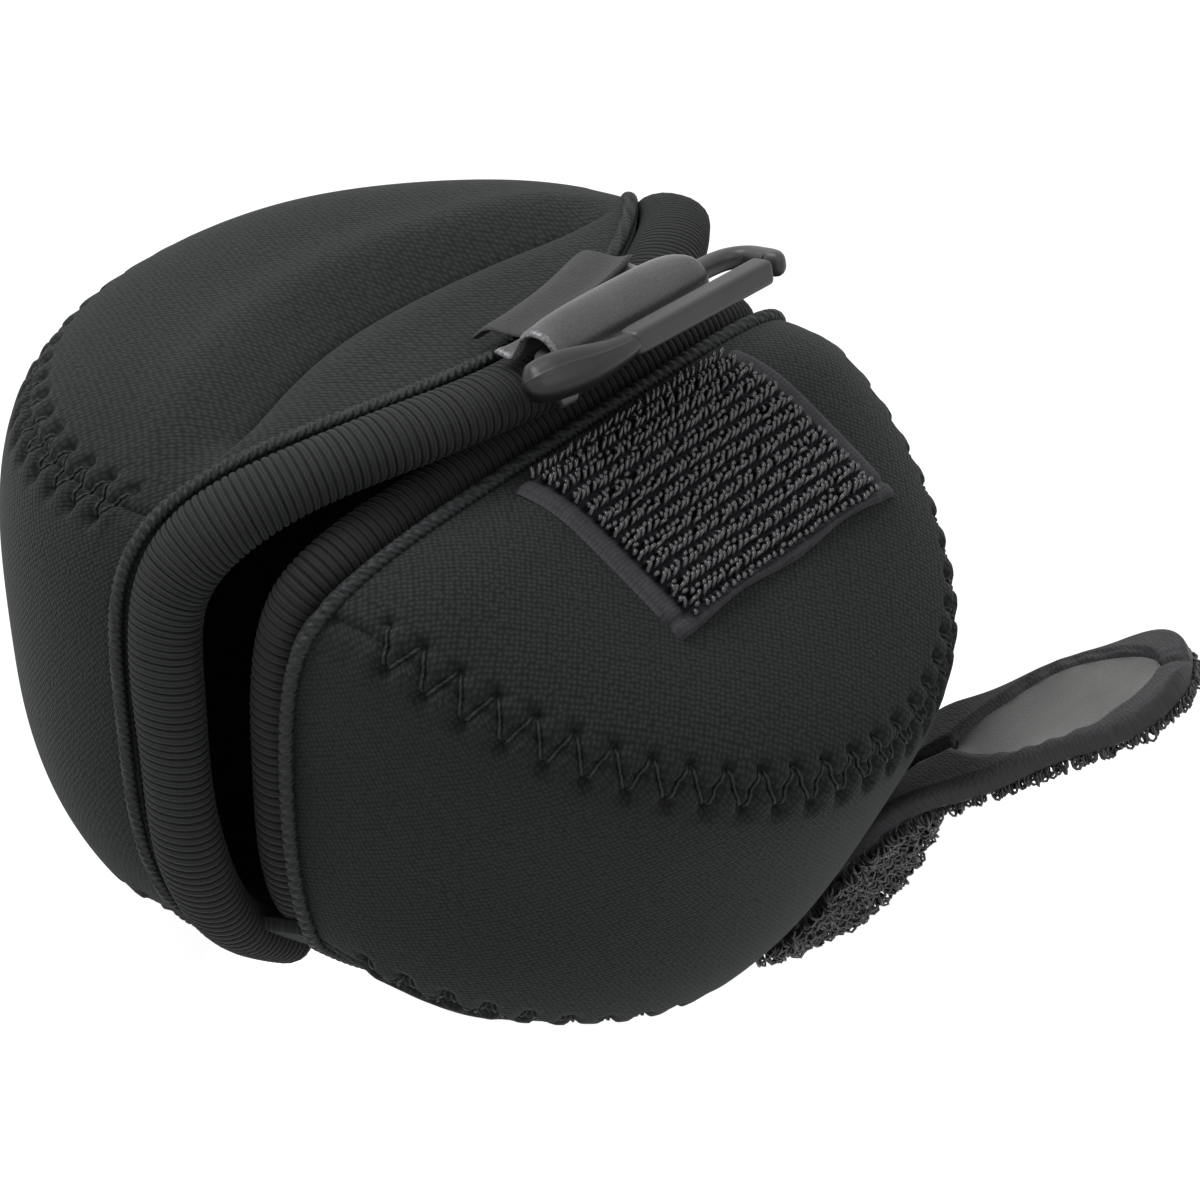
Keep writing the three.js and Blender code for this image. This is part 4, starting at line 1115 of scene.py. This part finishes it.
def clip():
    """The leaf-shaped head, the body along the far bar and round the nose, and the gate between."""
    nose = CLIP_NOSE_END - CLIP_NOSE
    head = [[-19.9, 3.1, 1.2], [-19.2, 3.5, 1.95], [-17.5, 4.0, 2.4], [-15.55, 4.6, 2.4], [-13.85, 5.2, 2.2],
            [-11.7, 5.6, 1.75], [-10.1, 5.7, 1.5], [-8.6, 5.6, 1.3], [-7.6, 5.4, 1.15]]
    new_piece("clip_head", *clip_bar(head, 160, 96, 1.75, 0.9, 0.055), head_acetal_painted_shade, "clip", "clip_plastic")
    body = [
        [-15.2, 4.4, 0.7], [-15.6, 2.2, 0.7], [-13.8, 0.3, 0.8], [-8.0, 0, CLIP_BAR], [0, 0, CLIP_BAR],
        [0.8 * CLIP_NOSE_END, 0, CLIP_BAR], [nose, 0.275 * CLIP_SPREAD, 1.0], [nose, 0.65 * CLIP_SPREAD, 1.12],
        [0.975 * nose, 0.94 * CLIP_SPREAD, GATE_RADIUS], [0.905 * nose, CLIP_SPREAD, GATE_RADIUS],
    ]
    new_piece("clip_body", *clip_bar(body, 260, 28, 2.6, 1.0), acetal, "clip", "clip_plastic", ["clip_body"])
    gate = [[-GATE_HINGE - 0.8, CLIP_SPREAD, 1.1], [-GATE_HINGE + 1.0, CLIP_SPREAD, GATE_RADIUS],
            [0, CLIP_SPREAD, GATE_RADIUS], [GATE_TIP, CLIP_SPREAD, GATE_RADIUS]]
    new_piece("clip_gate", *clip_bar(gate, 90, 48, 5.0, 1.0), acetal, "gate", "clip_plastic", ["clip_gate"])


def tab_section(x):
    """The tab's line over the rear roll, round the clip's far bar and back under the roll, and the tape's line over
    the ridge, in the upright plane at x."""
    bar = on_clip(np.array(x), np.array(0.0))
    lip = crown_point(REAR, np.array(bar[0]), np.array(-LIP_ALLOWANCE))
    lean = REAR.lean
    towards = turned(np.array([0, -math.cos(lean), math.sin(lean)]), np.array([0, 0, 1.0]), REAR.yaw)
    roll = lip + towards * (ROLL_GAP + REAR.roll_half_width)
    roll[2] -= REAR.roll_inset
    half = TAB_GAP + TAB_THICKNESS / 2
    wide, high, wrap = REAR.roll_half_width + half, REAR.roll_half_height + half, CLIP_BAR + half

    def ring(centre, width, height, *angles):
        return [[centre[1] + width * math.cos(math.radians(a)), centre[2] + height * math.sin(math.radians(a))]
                for a in angles]

    tab = [[roll[1] + TAB_ROOT, roll[2] + high], *ring(roll, wide, high, 90),
           *ring(bar, wrap, wrap, 55, 100, 145, 190, 235), *ring(roll, wide, high, 195, 220, 245, 270)]
    top = lip[2] + 2 * RIDGE_RADIUS + TAB_GAP + TAPE_THICKNESS / 2
    ridge = lip[1] + LIP_ALLOWANCE
    tape = [[roll[1] + TAB_ROOT - TAPE_LAP, roll[2] + high + TAPE_LIFT],
            [roll[1] + TAB_ROOT + 0.5, roll[2] + high + 0.2 * TAPE_LIFT], [ridge + RIDGE_RADIUS, top],
            [ridge + TAPE_REACH, top - TAPE_DROP]]
    return bar[0], np.array(tab), np.array(tape)


BULGE_AT, BULGE_WIDTH = 0.19, 0.09


def strip(lines, xs, thickness, crown, cols, reaches, bulge=0.0, curl=0.0):
    """A sheet along sections in upright planes: rows run across at x, columns along each section. Its edges are
    rounded, its middle is crowned off its face, it bulges near the section's start and its low edge curls up.
    Each section is followed as far as its reach, a share of its length."""
    share = np.linspace(0, 1, cols)
    sections = np.stack([through(line, share * reach) for line, reach in zip(lines, reaches)])
    middle = np.concatenate([np.broadcast_to(xs[:, None, None], sections.shape[:2] + (1,)), sections], -1)
    along = direction(middle, 1)
    out = unit(np.cross(along, np.array([1.0, 0, 0])))
    a = np.linspace(-1, 1, len(xs))[:, None]
    half = 0.5 * thickness * flat_topped(a, 24, 0.03) * flat_topped(2 * share - 1, 80, 0.03)
    swollen = bulge * bell(share[None] * reaches[:, None] - BULGE_AT, BULGE_WIDTH) * (1 - a ** 6)
    rise = crown * (1 - a ** 2) + swollen + curl * bell(a + 1, 0.1)
    uv = beside(xs[:, None], arc_lengths(middle, 1))
    return slab(middle + out * (rise + half)[..., None], middle + out * (rise - half)[..., None], uv)


def tab_sections(places):
    """The x of the places across the tab, and the tab's and the tape's lines there."""
    xs, tabs, tapes = zip(*(tab_section(x) for x in places))
    return np.array(xs), tabs, tapes


def tab():
    """The leatherette tab in its fold round the far bar, and the woven tape across its root."""
    places = np.linspace(TAB_LEFT - TAB_FLAP, TAB_RIGHT, 110)
    xs, tabs, _ = tab_sections(places)
    from_left = places - TAB_LEFT
    lip = smoothstep(-3.6, -2.2, from_left) * (1 - smoothstep(-0.4, 1.0, from_left))
    reaches = 0.46 + 0.1 * smoothstep(-4.0, -2.0, from_left) + 0.12 * lip
    parts = strip(tabs, xs, TAB_THICKNESS, 0.3, 120, reaches, bulge=0.6, curl=0.3)
    new_piece("clip_tab", *parts, tab_leather, "rear_half", "leatherette", ["clip_tab"])
    xs, _, tapes = tab_sections(np.linspace(TAB_LEFT, TAB_RIGHT, 60))
    parts = strip(tapes, xs, TAPE_THICKNESS, -0.15, 40, np.ones(len(xs)))
    new_piece("tab_anchor_tape", *parts, anchor_weave, "rear_half", "rib_knit", ["tab_anchor_tape"])


clip()
tab()


# Camera: the viewpoint fitted to the photograph, half a metre away, turned to frame the object as it does
TO_CAMERA = np.array([-0.6326, -0.5209, 0.5733])
RIGHT = np.array([0.6357, -0.7720, 0.0])
UPWARD = np.array([0.4426, 0.3645, 0.8194])
AIM = np.array([0.0, 0.0, 2.6]) + SHIFT
DISTANCE, FOCAL_PX, FRAME_PX, SENSOR = 500.0, 5000.0, 1200.0, 36.0
CENTRE_PX = np.array([408.81, 827.82])
# The photograph's frame is off its camera's axis, which stretches it by about this share of the squared tangent
SWING_EASE = 0.75


def set_camera():
    """A camera at the fitted distance whose axis is swung, without roll, onto the middle of the frame."""
    across, down = (FRAME_PX / 2 - CENTRE_PX) / FOCAL_PX
    forward = unit(-TO_CAMERA + RIGHT * across - UPWARD * down)
    swing = np.cross(-TO_CAMERA, forward)
    angle = math.asin(np.linalg.norm(swing))
    right, upward = (turned(v, unit(swing), angle) for v in (RIGHT, UPWARD))
    data = bpy.data.cameras.new("photo_camera")
    data.sensor_width = SENSOR
    data.lens = SENSOR * FOCAL_PX / FRAME_PX * (1 + SWING_EASE * math.tan(angle) ** 2)
    data.clip_start, data.clip_end = 0.01, 20
    camera = in_scene("photo_camera", data)
    turn = Matrix((right, upward, -forward)).transposed().to_4x4()
    camera.matrix_world = Matrix.Translation(Vector((AIM + TO_CAMERA * DISTANCE) * MM)) @ turn
    bpy.context.scene.camera = camera


def lamp(name, way, distance, size, power):
    """A square area lamp at a distance from the object, some way from it, facing it."""
    data = bpy.data.lights.new(name, "AREA")
    data.shape, data.size, data.energy = "SQUARE", size, power
    light = in_scene(name, data)
    towards = Vector(way).normalized()
    light.location = towards * distance + Vector((0, 0.02, 0.03))
    light.rotation_euler = towards.to_track_quat("Z", "Y").to_euler()


def seen_by(tree, *kinds):
    """One for the given kinds of ray, zero for others."""
    rays = add(tree, "ShaderNodeLightPath").outputs
    seen = rays[kinds[0]]
    for kind in kinds[1:]:
        seen = maths(tree, "MAXIMUM", seen, rays[kind])
    return seen


def set_light():
    """Two broad lamps, one above and behind and a weak one in front, in a grey sky that is seen as white."""
    lamp("key_softbox", (-0.15, 0.5, 1.0), 0.9, 0.55, 6.3)
    lamp("front_fill", (-0.25, -1.0, 0.9), 1.1, 0.7, 2.0)
    bpy.context.scene.world = bpy.data.worlds.new("studio")
    tree = emptied(bpy.context.scene.world)
    seen = seen_by(tree, "Is Camera Ray", "Is Transmission Ray", "Is Glossy Ray")
    sky = add(tree, "ShaderNodeBackground", {"Color": (0.34, 0.34, 0.345, 1), "Strength": 1.0})
    white = add(tree, "ShaderNodeBackground", {"Color": (1, 1, 1, 1), "Strength": 1.0})
    shown = add(tree, "ShaderNodeMixShader", {0: seen, 1: sky.outputs[0], 2: white.outputs[0]})
    add(tree, "ShaderNodeOutputWorld", {"Surface": shown.outputs[0]})


# The studio floor, in metres
FLOOR_REACH, FLOOR_SIDES = 4.0, 96
OPENING_CENTRE, OPENING_RADII = np.array([0.002, -0.018]), np.array([0.044, 0.030])
GLOW, GLOW_SHARE, FADE_REACH = 1.6, 0.6, 1.5


def set_floor():
    """White paper, open under the front half, which dips below it when the mouth opens. A share of it glows, so that
    shadows stay pale, and all of it does at the opening, where they fade."""
    turn = np.linspace(0, 2 * math.pi, FLOOR_SIDES, endpoint=False)
    ring = beside(np.cos(turn), np.sin(turn))
    flat = np.concatenate([OPENING_CENTRE + ring * OPENING_RADII, FLOOR_REACH * ring])
    mesh = bpy.data.meshes.new("studio_floor")
    mesh.from_pydata(np.pad(flat, ((0, 0), (0, 1))).tolist(), [], grid_faces(2, FLOOR_SIDES)[0].tolist())
    floor = in_scene("studio_floor", mesh)
    floor.location.z = -0.0003
    material = bpy.data.materials.new("white_paper_floor")
    tree = emptied(material)
    where = add(tree, "ShaderNodeTexCoord").outputs["Object"]
    spread = placed(tree, where, (*(1 / OPENING_RADII), 1), move=(*(-OPENING_CENTRE / OPENING_RADII), 0))
    away = add(tree, "ShaderNodeVectorMath", {0: spread}, operation="LENGTH").outputs["Value"]
    share = mapped(tree, away, 1.0, FADE_REACH, 1.0, GLOW_SHARE)
    lifted = maths(tree, "MULTIPLY", seen_by(tree, "Is Camera Ray", "Is Glossy Ray"), share)
    paper = add(tree, "ShaderNodeBsdfDiffuse", {"Color": colour("b4b4b4")})
    glow = add(tree, "ShaderNodeEmission", {"Color": (1, 1, 1, 1), "Strength": GLOW})
    shown = add(tree, "ShaderNodeMixShader", {0: lifted, 1: paper.outputs[0], 2: glow.outputs[0]})
    add(tree, "ShaderNodeOutputMaterial", {"Surface": shown.outputs[0]})
    mesh.materials.append(material)


set_camera()
set_light()
set_floor()
bpy.context.scene.view_settings.view_transform = "Standard"
